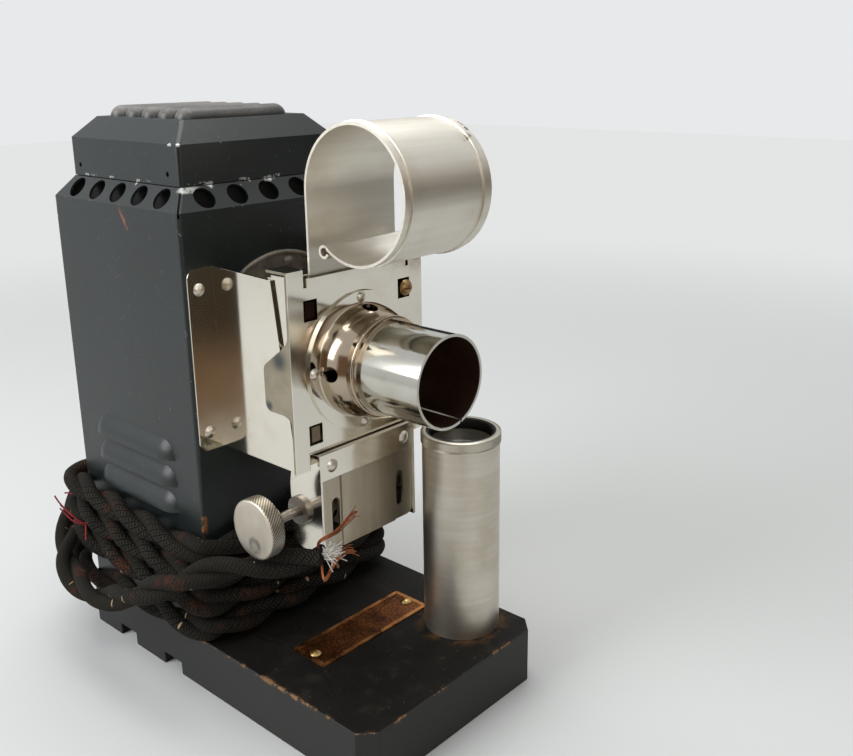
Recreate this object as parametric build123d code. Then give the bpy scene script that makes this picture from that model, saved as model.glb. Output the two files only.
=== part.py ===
from build123d import *
import math
import os

os.makedirs("parts", exist_ok=True)

# Frame: origin at the centre of the base's underside, +X to the right seen from the lens,
# the lens looks along -Y, +Z up. All lengths are in millimetres.

# Base board
base_width = 80.0
base_length = 150.0
base_height = 19.05
base_corner = 5.0
groove_width = 9.9
groove_depth = 4.5
groove_places = (21.35, 49.35)

# Sheet metal shared by the lamp house, cap and gate
sheet = 0.8
rivet_radius = 2.0
rivet_rise = 1.1
screw_clearance = 0.05

# Lamp house
house_width = 72.5
house_back = 74.35
house_wall_top = 159.16
shoulder_inset = 5.3
shoulder_rise = 6.65
house_corner = 1.2
vent_radius = 3.65
vent_pitch = 12.3
vents_per_side = 5
seam_slit = 0.7
louvre_length = 47.0
louvre_bulge = 2.6
louvre_height = 6.5
louvre_pitch = 9.25
louvre_lowest = 59.6
louvres_per_side = 3
foot_length = 10.0
foot_width = 9.0
foot_inset = 13.0

# Cap
cap_setback = 5.35
cap_gap = 0.3
cap_wall_height = 12.34
cap_inset = 6.35
cap_rise = 6.59
neck_clearance = 0.35
neck_height = 6.2
rib_pitch = 9.2
rib_count = 5
rib_half_width = 4.0
rib_rise = 3.5
rib_left_margin = 8.9
rib_right_margin = 10.9
cap_pin_hole = 0.8
cap_pin_margins = (4.8, 6.3)

# Optical axis
optic_height = 113.8

# Condenser
cond_tube_radius = 23.0
cond_wall = 0.8
cond_front_gap = 3.85
cond_length = 26.0
cond_fit = 0.1
cond_ring_length = 1.5
cond_lens_edge = 2.0
cond_lens_curve = 40.0
cond_flange_radius = 29.7
cond_flange_bead = 0.85
cond_flange_thickness = 0.9
cond_flange_side_gap = 0.2
cond_rivet_circle = 25.8
cond_rivet_angle = 82.0

# Lamp, socket and reflector
bulb_radius = 12.5
bulb_wall = 0.7
bulb_above_filament = 28.0
bulb_below_filament = 33.0
lamp_cap_radius = 7.5
lamp_cap_length = 19.0
socket_wall = 0.9
socket_length = 28.0
socket_overlap = 14.0
insulator_radius = 11.0
insulator_height = 9.0
bracket_width = 16.0
bracket_sheet = 1.5
bracket_foot = 13.0
reflector_radius = 28.0
reflector_wall = 0.8
reflector_half_angle = 42.0
reflector_stud_radius = 2.5
reflector_pad_radius = 8.0
reflector_pad = 1.2

# Gate brackets on the lamp house front
gate_half = 26.3
gate_bottom = 84.1
bracket_top = 142.3
bracket_front_top = -26.6
bracket_front_bottom = -34.3
bracket_flange_edge = 35.4
bracket_rivet_x = 31.5
bracket_rivets_z = (135.8, 90.1)

# Film gate, from the rear plate to the door
film_face = -33.3
film_channel = 0.3
pressure_sheet = 0.5
spring_room = 0.7
spring_sheet = 0.2
spring_low = 98.0
spring_high = 129.6
plate_flange_depth = 8.8
plate_top = 142.2
plate_lip_depth = 7.3
nest_gap = 0.1
frame_width = 24.0
frame_height = 18.0
pressure_half = 22.4
pressure_bottom = 91.5
pressure_top = 136.5

# Gate door
door_top = 144.2
door_middle_top = 142.2
door_middle_half = 20.8
door_flange_gap = 0.5
door_lip_back = -26.5
door_notch_half = 22.2
door_notch_top = 88.9
door_light_radius = 12.5
window_x = 19.4
window_width = 5.2
window_height = 6.3
window_upper = 132.85
window_lower = 94.8
tab_back = -22.9
tab_low = 101.9
tab_high = 115.7
tab_root = 123.5
door_flange_depth = 2.2

# Door hinge
hinge_x = 27.7
hinge_y = -33.1
hinge_bottom = 86.0
hinge_top = 140.0
knuckle_low = 103.0
knuckle_high = 123.0
knuckle_radius = 1.4
knuckle_gap = 0.3
pin_radius = 0.7
pin_fit = 0.05
pin_head = 1.2
leaf_back_gap = 7.85

# Lens mount and holder
mount_flange_radius = 21.55
mount_sheet = 0.9
mount_dome_radius = 17.9
mount_neck_radius = 15.0
mount_dome_length = 9.2
mount_length = 13.4
mount_hole_radius = 2.4
mount_rivet_circle = 19.75
mount_rivets = 4
holder_radius = 14.06
holder_wall = 0.86
holder_front = -71.9
holder_fit = 0.05
slit_width = 0.8
slit_length = 20.0
slit_places = (-4.2, 4.6)

# Spare lens standing on the base
lens_x = 25.2
lens_y = -54.2
lens_radius = 12.6
lens_height = 69.0
lens_wall = 1.2
lens_rim_radius = 13.0
lens_rim_height = 3.6
lens_rim_bore = 10.2
lens_glass_edge = 2.0
lens_glass_curve = 22.0
lens_glass_fit = 0.05
lens_front_seat = 8.0
lens_rear_seat = 5.0
lens_stop_radius = 5.0

# Film magazine
magazine_half = 17.65
magazine_radius = 19.6
magazine_height = 166.7
magazine_tail = 139.2
magazine_curl_angle = -52.8
magazine_curl_radius = 2.0
magazine_bead_inset = 3.0
magazine_bead = 0.5
magazine_rivet_x = 12.0

# Sprocket and knob
sprocket_y = -27.9
sprocket_z = 68.4
sprocket_radius = 5.98
sprocket_waist = 4.5
sprocket_half = 16.5
tooth_row = 14.09
tooth_width = 2.4
tooth_rise = 1.4
tooth_root = 0.9
tooth_tip = 0.5
teeth = 8
hub_radius = 3.0
shaft_radius = 1.65
shaft_fit = 0.05
end_play = 0.3
ear_outer = 19.7
ear_back = -22.5
ear_front = -34.6
ear_bottom = 57.5
ear_step = 77.0
bushing_radius = 2.8
bushing_flange = 4.6
bushing_flange_depth = 1.2
collar_radius = 3.2
collar_length = 1.2
knob_face = -39.3
knob_radius = 9.45
knob_rim = 5.0
knob_boss_radius = 6.0
knob_boss = 2.7
knob_round = 0.7

# Film shoe below the door
shoe_front = -37.9
band_bottom = 80.0
band_top = 88.5
shoe_bottom = 56.0
shoe_wing_step = 0.9
shoe_centre_left = -11.8
shoe_centre_right = 11.4
shoe_flange_bottom = 55.5
shoe_lip_depth = 1.8
tooth_slot_width = 3.2
tooth_slot_low = 60.5
tooth_slot_high = 72.8
pad_gap = 0.6
shoe_rivet_x = 15.6
shoe_rivet_z = 84.2

# Nameplate
plate_half = 24.1
plate_front = -39.5
plate_back = -24.5
plate_sheet = 0.5
plate_screw_x = 21.0
plate_screw_radius = 1.9

# Cord: a twisted pair wound round the lamp house
cord_diameter = 8.8
cord_clearance = 0.3
cord_wall_offset = 5.7
cord_corner_cut = 5.3
cord_pitch = 9.4
cord_sag = 9.0
cord_last_turn = 4.0
cord_bulge = 0.6
cord_louvre_turn = 3.4
cord_louvre_offset = 1.4
bush_flange_radius = 5.6
bush_flange = 1.6
bush_body_radius = 4.9
wire_radius = 0.9
strand_offset = 2.2

house_half = house_width / 2
house_y = house_back - house_half
house_front = house_back - house_width
cap_half = house_half - cap_setback
rib_left = rib_left_margin - cap_half
rib_right = cap_half - rib_right_margin
cond_front = house_front - cond_front_gap
leaf_back = house_front - leaf_back_gap
shoulder_top = house_wall_top + shoulder_rise
neck_half = cap_half - sheet - neck_clearance
neck_top = shoulder_top + neck_height
cap_bottom = shoulder_top + cap_gap
cap_wall_top = cap_bottom + cap_wall_height
cap_top = cap_wall_top + cap_rise
pressure_back = film_face - film_channel
pressure_front = pressure_back - pressure_sheet
door_back = pressure_front - spring_room
door_front = door_back - sheet
wall_inner = gate_half - sheet
flange_outer = wall_inner - nest_gap
plate_back_face = film_face + sheet
door_left = -(gate_half + door_flange_gap + sheet)
ear_inner = ear_outer - sheet
shoe_edge = ear_outer + sheet
shoe_back = shoe_front + sheet
cond_bore = cond_tube_radius - cond_wall
filament_y = house_y
cord_radius = cord_diameter / 2


def block(x0, x1, y0, y1, z0, z1):
    """A box between two corners."""
    return Pos((x0 + x1) / 2, (y0 + y1) / 2, (z0 + z1) / 2) * Box(x1 - x0, y1 - y0, z1 - z0)


def rod(x, y, z, radius, length, turn=(0, 0, 0)):
    """A cylinder that starts at a point; turned (90, 0, 0) it runs forward, (0, 90, 0) to +X."""
    return Pos(x, y, z) * Rot(*turn) * Cylinder(
        radius, length, align=(Align.CENTER, Align.CENTER, Align.MIN)
    )


FORWARD = (90, 0, 0)
BACKWARD = (-90, 0, 0)
RIGHTWARD = (0, 90, 0)


def ring(x, y, z, outer, inner, length, turn=(0, 0, 0)):
    """A tube that starts at a point."""
    return rod(x, y, z, outer, length, turn) - rod(x, y, z, inner, length, turn)


def lathe(edges, x, y, z, turn=(0, 0, 0)):
    """A solid turned from an outline of radius and height."""
    return Pos(x, y, z) * Rot(*turn) * revolve(Plane.XZ * make_face(edges), Axis.Z)


def outline(points, rounds=None):
    """A flat face with some of its corners rounded."""
    face = make_face(Polyline(*points, close=True))
    for index, radius in (rounds or {}).items():
        corner = face.vertices().sort_by_distance(Vector(*points[index]))[0]
        face = fillet(corner, radius)
    return face


def side_plate(points, x0, x1, rounds=None):
    """A plate across X from an outline of Y and Z."""
    return Pos(x0, 0, 0) * extrude(Plane.YZ * outline(points, rounds), x1 - x0)


def front_plate(points, y0, y1, rounds=None):
    """A plate across Y from an outline of X and Z, between a front and a back."""
    return Pos(0, y1, 0) * extrude(Plane.XZ * outline(points, rounds), y1 - y0)


def dome_head(x, y, z, radius, rise, shank_radius, shank, turn):
    """A rivet or screw with a domed head; the shank runs back from the seat."""
    curve = (radius ** 2 + rise ** 2) / (2 * rise)
    half_angle = math.asin(radius / curve) / 2
    middle = (curve * math.sin(half_angle), rise - curve * (1 - math.cos(half_angle)))
    edges = [
        Line((0, -shank), (shank_radius, -shank)),
        Line((shank_radius, -shank), (shank_radius, 0)),
        Line((shank_radius, 0), (radius, 0)),
        ThreePointArc((radius, 0), middle, (0, rise)),
        Line((0, rise), (0, -shank)),
    ]
    return lathe(edges, x, y, z, turn)


def square_tower(half, z0, z1, corner):
    """An upright square prism about the lamp house's axis."""
    face = RectangleRounded(2 * half, 2 * half, corner)
    return Pos(0, house_y, z0) * extrude(face, z1 - z0)


def square_slope(half0, half1, z0, z1, corner):
    """A square tower that narrows from one half width to another."""
    low = Pos(0, house_y, z0) * RectangleRounded(2 * half0, 2 * half0, corner)
    high = Pos(0, house_y, z1) * RectangleRounded(2 * half1, 2 * half1, corner)
    return loft([low, high], ruled=True)


def inner_slope(half0, half1, z0, z1):
    """Where the inside of a sloping sheet starts and ends: half width and height, twice."""
    run = half0 - half1
    rise = z1 - z0
    across = sheet * math.hypot(run, rise) / rise
    start = z0 + (sheet - across) * rise / run
    end_half = half0 - (rise - sheet) * run / rise - across
    return half0 - sheet, start, end_half, z1 - sheet


def capsule(radius, along, start, end, x, y, z):
    """A rod with round ends, along X or Y through a point."""
    length = end - start
    turn = (0, 90, 0) if along == "x" else (90, 0, 0)
    centre = (start + end) / 2
    place = Pos(x + centre, y, z) if along == "x" else Pos(x, y + centre, z)
    body = place * Rot(*turn) * Cylinder(radius, length)
    for end_place in (start, end):
        spot = Pos(x + end_place, y, z) if along == "x" else Pos(x, y + end_place, z)
        body += spot * Sphere(radius)
    return body


def save(name, shape):
    """Write one node."""
    export_step(shape, f"parts/{name}.step")


foot_places = [
    (side * (house_half - sheet - foot_width / 2), house_y + end * (house_half - foot_inset))
    for side in (-1, 1)
    for end in (-1, 1)
]
foot_screw_radius = 1.2
socket_screw_places = [(side * (bracket_width / 2 + bracket_foot / 2), filament_y) for side in (-1, 1)]
plate_screw_y = (plate_front + plate_back) / 2
wood_screw_depth = 9.0


def make_base():
    base = Box(base_width, base_length, base_height, align=(Align.CENTER, Align.CENTER, Align.MIN))
    base = chamfer(base.edges().filter_by(Axis.Z), base_corner)
    for place in groove_places:
        base -= block(
            -base_width, base_width, place - groove_width / 2, place + groove_width / 2, -1,
            groove_depth
        )
    screw_spots = [(x, y, foot_screw_radius) for x, y in foot_places]
    screw_spots += [(x, y, foot_screw_radius) for x, y in socket_screw_places]
    screw_spots += [(side * plate_screw_x, plate_screw_y, foot_screw_radius) for side in (-1, 1)]
    for x, y, radius in screw_spots:
        base -= rod(
            x, y, base_height - wood_screw_depth, radius + screw_clearance, wood_screw_depth + 1
        )
    return base


def shoulder_vents():
    """Round holes through the sloping shoulder, square to it."""
    tilt = math.degrees(math.atan2(shoulder_rise, shoulder_inset))
    holes = []
    for side in range(4):
        for number in range(vents_per_side):
            along = (number - (vents_per_side - 1) / 2) * vent_pitch
            spot = Pos(house_half - shoulder_inset / 2, along, house_wall_top + shoulder_rise / 2)
            hole = spot * Rot(0, tilt, 0) * Cylinder(vent_radius, 8 * sheet)
            holes.append(Pos(0, house_y, 0) * Rot(0, 0, 90 * side) * hole)
    return holes


def make_house():
    slope_in = inner_slope(house_half, house_half - shoulder_inset, house_wall_top, shoulder_top)
    shell = square_tower(house_half, base_height, house_wall_top, house_corner)
    shell += square_slope(
        house_half, house_half - shoulder_inset, house_wall_top, shoulder_top, house_corner
    )
    shell += square_tower(neck_half, shoulder_top, neck_top, house_corner)
    louvre_drop = (louvre_height ** 2 - louvre_bulge ** 2) / (2 * louvre_bulge)
    louvre_radius = louvre_drop + louvre_bulge
    half_run = louvre_length / 2 - louvre_height
    for side in (-1, 1):
        for number in range(louvres_per_side):
            lip = louvre_lowest + number * louvre_pitch
            spot = (side * (house_half - louvre_drop), house_y, lip)
            hood = capsule(louvre_radius, "y", -half_run, half_run, *spot)
            outside = block(
                house_half - sheet / 2, house_half + 2 * louvre_bulge, 0, house_back, lip,
                lip + 2 * louvre_height
            )
            shell += hood & (outside if side > 0 else mirror(outside, Plane.YZ))
    inner_corner = house_corner - sheet / 2
    hollow = square_tower(slope_in[0], base_height - 1, slope_in[1], inner_corner)
    hollow += square_slope(slope_in[0], slope_in[2], slope_in[1], slope_in[3], inner_corner)
    hollow += square_tower(neck_half - sheet, slope_in[3], neck_top + 1, inner_corner)
    shell -= hollow
    for side in (-1, 1):
        for number in range(louvres_per_side):
            lip = louvre_lowest + number * louvre_pitch
            spot = (side * (house_half - louvre_drop), house_y, lip)
            inside = capsule(louvre_radius - sheet, "y", -half_run, half_run, *spot)
            outside = block(
                house_half - 2 * sheet, house_half + 2 * louvre_bulge, 0, house_back, lip,
                lip + 2 * louvre_height
            )
            shell -= inside & (outside if side > 0 else mirror(outside, Plane.YZ))
    for hole in shoulder_vents():
        shell -= hole
    slit_start = (house_half - shoulder_inset) * math.sqrt(2) + sheet
    slit_end = house_half * math.sqrt(2) + 1
    for quarter in range(4):
        slit = block(
            slit_start, slit_end, -seam_slit / 2, seam_slit / 2, house_wall_top - 2 * sheet,
            shoulder_top - sheet
        )
        shell -= Pos(0, house_y, 0) * Rot(0, 0, 45 + 90 * quarter) * slit
    shell -= rod(
        0, house_front + 2 * sheet, optic_height, cond_tube_radius + screw_clearance, 4 * sheet, FORWARD
    )
    shell -= rod(
        cord_exit_x, house_back - 2 * sheet, cord_exit_z, bush_body_radius + screw_clearance, 4 * sheet,
        BACKWARD
    )
    for x, y in foot_places:
        foot = block(x - foot_width / 2, x + foot_width / 2, y - foot_length / 2, y + foot_length / 2,
                     base_height, base_height + sheet)
        shell += foot - rod(x, y, base_height - 1, foot_screw_radius + screw_clearance, 4)
    return shell


def wood_screw(x, y, seat, head_radius):
    head = dome_head(
        x, y, seat, head_radius, head_radius * 0.5, foot_screw_radius,
        seat - base_height + wood_screw_depth - 1, (0, 0, 0)
    )
    slot = block(
        x - head_radius, x + head_radius, y - 0.3, y + 0.3, seat + head_radius * 0.25,
        seat + head_radius
    )
    return head - slot


def make_cap():
    slope_in = inner_slope(cap_half, cap_half - cap_inset, cap_wall_top, cap_top)
    cap = square_tower(cap_half, cap_bottom, cap_wall_top, house_corner)
    cap += square_slope(cap_half, cap_half - cap_inset, cap_wall_top, cap_top, house_corner)
    rib_drop = (rib_half_width ** 2 - rib_rise ** 2) / (2 * rib_rise)
    rib_radius = rib_drop + rib_rise
    rib_places = [house_y + (number - (rib_count - 1) / 2) * rib_pitch for number in range(rib_count)]
    above = block(
        -cap_half, cap_half, house_y - cap_half, house_y + cap_half, cap_top - sheet / 2,
        cap_top + 2 * rib_rise
    )
    ends = (rib_left + rib_half_width, rib_right - rib_half_width)
    for place in rib_places:
        cap += capsule(rib_radius, "x", *ends, 0, place, cap_top - rib_drop) & above
    inner_corner = house_corner - sheet / 2
    cap -= square_tower(slope_in[0], cap_bottom - 1, slope_in[1], inner_corner)
    cap -= square_slope(slope_in[0], slope_in[2], slope_in[1], slope_in[3], inner_corner)
    inside = block(
        -cap_half, cap_half, house_y - cap_half, house_y + cap_half, cap_top - 2 * sheet,
        cap_top + 2 * rib_rise
    )
    for place in rib_places:
        cap -= capsule(rib_radius - sheet, "x", *ends, 0, place, cap_top - rib_drop) & inside
    for y in (house_y + cap_half - cap_pin_margins[0], house_y - cap_half + cap_pin_margins[1]):
        cap -= rod(-cap_half - 1, y, cap_bottom + 3.4, cap_pin_hole, 3, RIGHTWARD)
    return cap


def make_cond_flange():
    seat = house_front
    flange = rod(
        0, seat, optic_height, cond_flange_radius - cond_flange_bead, cond_flange_thickness, FORWARD
    )
    bead = Pos(0, seat - cond_flange_bead, optic_height) * Rot(*FORWARD) * Torus(
        cond_flange_radius - cond_flange_bead, cond_flange_bead
    )
    flange += bead
    flange -= rod(0, seat + 1, optic_height, cond_tube_radius + screw_clearance, 4, FORWARD)
    side = wall_inner - cond_flange_side_gap
    flange &= block(-side, side, seat - 5, seat, optic_height - 2 * side, optic_height + 2 * side)
    for x, z in cond_rivet_spots():
        flange -= rod(x, seat + 1, z, 1 + screw_clearance, 4, FORWARD)
    return flange


def cond_rivet_spots():
    angle = math.radians(cond_rivet_angle)
    spots = []
    for side in (1, -1):
        across = side * cond_rivet_circle * math.cos(angle)
        spots.append((across, optic_height + side * cond_rivet_circle * math.sin(angle)))
    return spots


def condenser_lens(flat_y, facing):
    """A plano-convex lens; facing 1 bulges to the rear, -1 to the front."""
    radius = cond_bore - cond_fit
    sag = cond_lens_curve - math.sqrt(cond_lens_curve ** 2 - radius ** 2)
    half_angle = math.asin(radius / cond_lens_curve) / 2
    top = cond_lens_edge + sag
    middle = (
        cond_lens_curve * math.sin(half_angle), top - cond_lens_curve * (1 - math.cos(half_angle))
    )
    edges = [
        Line((0, 0), (radius, 0)),
        Line((radius, 0), (radius, cond_lens_edge)),
        ThreePointArc((radius, cond_lens_edge), middle, (0, top)),
        Line((0, top), (0, 0)),
    ]
    return lathe(edges, 0, flat_y, optic_height, BACKWARD if facing > 0 else FORWARD)


def make_bulb():
    """A tubular glass envelope with a round top and a waist at its cap."""
    low = optic_height - bulb_below_filament
    high = optic_height + bulb_above_filament
    outer = rod(0, filament_y, low + 6, bulb_radius, high - low - 6 - bulb_radius)
    outer += Pos(0, filament_y, high - bulb_radius) * Sphere(bulb_radius)
    outer += Pos(0, filament_y, low + 3) * Cone(lamp_cap_radius, bulb_radius, 6)
    inner = rod(0, filament_y, low + 6, bulb_radius - bulb_wall, high - low - 6 - bulb_radius)
    inner += Pos(0, filament_y, high - bulb_radius) * Sphere(bulb_radius - bulb_wall)
    inner += Pos(0, filament_y, low + 3.5) * Cone(
        lamp_cap_radius - bulb_wall, bulb_radius - bulb_wall, 5
    )
    return outer - inner


def make_filament():
    """Support wires on a glass stem, with the filament's flat grid at the optical centre."""
    low = optic_height - bulb_below_filament + 1
    stem = rod(0, filament_y, low, 2.2, 16)
    for side in (-1, 1):
        stem += rod(side * 5, filament_y, low + 13, 0.4, optic_height - low - 9)
        stem += block(
            min(0, side * 5), max(0, side * 5), filament_y - 0.5, filament_y + 0.5, low + 13, low + 14
        )
    stem += block(-5, 5, filament_y - 0.4, filament_y + 0.4, optic_height + 3.2, optic_height + 4)
    for number in range(4):
        stem += rod(-3 + 2 * number, filament_y, optic_height - 4, 0.35, 8)
    stem += block(-5, 5, filament_y - 0.4, filament_y + 0.4, optic_height - 4, optic_height - 3.2)
    return stem


lamp_cap_top = optic_height - bulb_below_filament
lamp_cap_bottom = lamp_cap_top - lamp_cap_length
socket_bottom = lamp_cap_top - socket_overlap + 8 - socket_length
insulator_bottom = socket_bottom - insulator_height


def make_socket():
    bore = lamp_cap_radius + 0.2
    socket = ring(0, filament_y, socket_bottom, bore + socket_wall, bore, socket_length)
    for side in (-1, 1):
        slot_x = side * (bore + socket_wall / 2)
        socket -= block(
            slot_x - 1, slot_x + 1, filament_y - 1.2, filament_y + 1.2,
            socket_bottom + socket_length - 8, lamp_cap_top + 9
        )
    return socket


def make_socket_bracket():
    """A bridge of strip that carries the socket over the base."""
    half = bracket_width / 2
    top = insulator_bottom
    y0 = filament_y - half
    y1 = filament_y + half
    bracket = block(-half - bracket_sheet, half + bracket_sheet, y0, y1, top - bracket_sheet, top)
    for side in (-1, 1):
        x = side * (half + bracket_sheet / 2)
        bracket += block(x - bracket_sheet / 2, x + bracket_sheet / 2, y0, y1, base_height, top)
        foot = side * (half + bracket_foot / 2)
        strip = block(
            foot - bracket_foot / 2, foot + bracket_foot / 2, y0, y1, base_height,
            base_height + bracket_sheet
        )
        bracket += strip - rod(
            foot, filament_y, base_height - 1, foot_screw_radius + screw_clearance, 5
        )
    bracket -= rod(0, filament_y, top - 5, 4, 8)
    return bracket


def make_reflector():
    """A bowl of mirror metal centred on the filament."""
    bowl = Sphere(reflector_radius + reflector_wall) - Sphere(reflector_radius)
    reach = (reflector_radius + reflector_wall) * 2
    depth = reflector_radius * math.cos(math.radians(reflector_half_angle))
    bowl &= Pos(0, depth + reach / 2, 0) * Box(2 * reach, reach, 2 * reach)
    return Pos(0, filament_y, optic_height) * bowl


def make_reflector_stud():
    start = filament_y + reflector_radius + reflector_wall
    wall = house_back - sheet
    stud = rod(0, start - 0.2, optic_height, reflector_stud_radius, wall - start + 0.2, BACKWARD)
    stud += rod(0, wall - reflector_pad, optic_height, reflector_pad_radius, reflector_pad, BACKWARD)
    return stud - Pos(0, filament_y, optic_height) * Sphere(reflector_radius + reflector_wall)


def make_bracket(side):
    """One side of the gate: a wall with a slanted front and a flange riveted to the lamp house."""
    points = [
        (house_front, gate_bottom),
        (house_front, bracket_top),
        (bracket_front_top, bracket_top - 0.8),
        (bracket_front_bottom, gate_bottom),
    ]
    wall = side_plate(points, wall_inner, gate_half)
    flange = front_plate(
        [(gate_half - sheet, gate_bottom), (bracket_flange_edge, gate_bottom),
         (bracket_flange_edge, bracket_top),
         (gate_half - sheet, bracket_top)],
        house_front - sheet, house_front, {1: 3.0, 2: 3.0})
    part = wall + flange
    for z in bracket_rivets_z:
        part -= rod(bracket_rivet_x, house_front + 1, z, 1 + screw_clearance, 4, FORWARD)
    return part if side > 0 else mirror(part, Plane.YZ)


def make_house_rivets():
    """Rivets that hold the gate brackets and the condenser flange on the lamp house front."""
    rivets = []
    for side in (-1, 1):
        for z in bracket_rivets_z:
            spot = (side * bracket_rivet_x, house_front - sheet, z)
            rivets.append(dome_head(*spot, rivet_radius, rivet_rise, 1, sheet - 0.05, FORWARD))
    return rivets


def make_rear_plate():
    """The plate behind the film, with nested flanges, a top lip and the sprocket's two ears."""
    plate = block(-flange_outer, flange_outer, film_face, plate_back_face, gate_bottom + 0.4, plate_top)
    for side in (-1, 1):
        x0, x1 = sorted((side * (flange_outer - sheet), side * flange_outer))
        plate += block(x0, x1, film_face, film_face + plate_flange_depth, gate_bottom + 0.4, plate_top)
        ear = [
            (film_face, gate_bottom + 3),
            (film_face, ear_step),
            (ear_front, 74.0),
            (ear_front, ear_bottom),
            (ear_back, ear_bottom),
            (ear_back, 76.0),
            (film_face + plate_flange_depth, gate_bottom + 3),
        ]
        x0, x1 = sorted((side * ear_inner, side * ear_outer))
        plate += side_plate(ear, x0, x1, {3: 2.5, 4: 4.0})
    plate += block(
        -flange_outer, flange_outer, film_face, film_face + plate_lip_depth, plate_top,
        plate_top + sheet
    )
    plate -= block(-frame_width / 2, frame_width / 2, film_face - 1, plate_back_face + 1,
                   optic_height - frame_height / 2, optic_height + frame_height / 2)
    for side in (-1, 1):
        plate -= rod(
            side * magazine_rivet_x, plate_back_face + 1, magazine_tail + 1.6, 0.9 + screw_clearance, 4,
            FORWARD
        )
        plate -= rod(
            side * (ear_outer + 1), sprocket_y, sprocket_z, bushing_radius + screw_clearance, 4,
            (0, -90 * side, 0)
        )
    return plate


def make_pressure_plate():
    plate = block(
        -pressure_half, pressure_half, pressure_front, pressure_back, pressure_bottom, pressure_top
    )
    plate -= block(-frame_width / 2, frame_width / 2, pressure_front - 1, pressure_back + 1,
                   optic_height - frame_height / 2, optic_height + frame_height / 2)
    for x in (-window_x, window_x):
        for z in (window_lower, window_upper):
            if x > 0 and z == window_upper:
                continue
            half = window_width / 2 - 0.8
            rise = window_height / 2 - 0.8
            plate += block(x - half, x + half, door_front + 0.3, pressure_front, z - rise, z + rise)
    return plate


def make_pressure_springs():
    """Two bowed leaf springs between the door and the pressure plate."""
    springs = []
    for side in (-1, 1):
        points = [
            (door_back, spring_low),
            (pressure_front - spring_sheet, optic_height),
            (door_back, spring_high),
            (door_back + spring_sheet, spring_high),
            (pressure_front, optic_height),
            (door_back + spring_sheet, spring_low),
        ]
        springs.append(side_plate(points, side * 14.5 - 1.5, side * 14.5 + 1.5))
    return springs


def make_door():
    """The polished front plate, its folded top corners, left flange with thumb tab, and knuckle."""
    right = hinge_x
    points = [
        (door_left, gate_bottom),
        (-door_notch_half, gate_bottom),
        (-door_notch_half, door_notch_top),
        (door_notch_half, door_notch_top),
        (door_notch_half, gate_bottom),
        (right, gate_bottom),
        (right, door_top),
        (door_middle_half, door_top),
        (door_middle_half, door_middle_top),
        (-door_middle_half, door_middle_top),
        (-door_middle_half, door_top),
        (door_left, door_top),
    ]
    door = front_plate(points, door_front, door_back)
    for x0, x1 in ((door_left, -door_middle_half), (door_middle_half, right - 0.7)):
        door += block(x0, x1, door_front, door_lip_back, door_top, door_top + sheet)
    flange = [
        (door_back, gate_bottom),
        (door_front + door_flange_depth, gate_bottom),
        (door_front + door_flange_depth, tab_low),
        (tab_back, tab_low),
        (tab_back, tab_high),
        (door_front + door_flange_depth, tab_root),
        (door_front + door_flange_depth, door_top + sheet),
        (door_back, door_top + sheet),
    ]
    door += side_plate(flange, door_left, door_left + sheet, {2: 2.5, 3: 2.5, 4: 3.0, 5: 6.0})
    door -= rod(0, door_back + 1, optic_height, door_light_radius, 4, FORWARD)
    for x in (-window_x, window_x):
        for z in (window_lower, window_upper):
            door -= block(x - window_width / 2, x + window_width / 2, door_front - 1, door_back + 1,
                          z - window_height / 2, z + window_height / 2)
    for side in (-1, 1):
        slot = side * (door_middle_half + 0.2)
        top = door_top + 2 if side < 0 else door_middle_top - 0.2
        door -= block(
            slot - 0.6, slot + 0.6, door_front - 1, door_back + 0.5, door_middle_top - 2.5, top
        )
    knuckle = rod(hinge_x, hinge_y, knuckle_low, knuckle_radius, knuckle_high - knuckle_low)
    knuckle += block(hinge_x - knuckle_radius, hinge_x, door_back, hinge_y, knuckle_low, knuckle_high)
    knuckle -= rod(
        hinge_x, hinge_y, knuckle_low - 1, pin_radius + pin_fit, knuckle_high - knuckle_low + 2
    )
    door += knuckle
    for x, z in mount_rivet_spots():
        door -= rod(x, door_back + 1, z, 0.9 + screw_clearance, 4, FORWARD)
    return door


def make_hinge_leaf():
    """The hinge's fixed half, on the outside of the right gate bracket."""
    leaf = block(gate_half, gate_half + sheet, hinge_y, leaf_back, hinge_bottom, hinge_top)
    notch_back = hinge_y + knuckle_radius + 2 * knuckle_gap
    leaf -= block(gate_half - 1, gate_half + sheet + 1, hinge_y - 1, notch_back,
                  knuckle_low - knuckle_gap, knuckle_high + knuckle_gap)
    for z0, z1 in ((hinge_bottom, knuckle_low - knuckle_gap), (knuckle_high + knuckle_gap, hinge_top)):
        leaf += rod(hinge_x, hinge_y, z0, knuckle_radius, z1 - z0)
        leaf -= rod(hinge_x, hinge_y, z0 - 1, pin_radius + pin_fit, z1 - z0 + 2)
    return leaf


def make_hinge_pin():
    pin = rod(hinge_x, hinge_y, hinge_bottom - 0.6, pin_radius, hinge_top - hinge_bottom + 0.6)
    pin += rod(hinge_x, hinge_y, hinge_top, pin_head, 0.7)
    return pin + rod(hinge_x, hinge_y, hinge_bottom - 1.1, pin_radius * 1.2, 0.5)


def mount_rivet_spots():
    spots = []
    for number in range(mount_rivets):
        angle = math.radians(360 / mount_rivets * number)
        spots.append(
            (mount_rivet_circle * math.cos(angle), optic_height + mount_rivet_circle * math.sin(angle))
        )
    return spots


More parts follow.
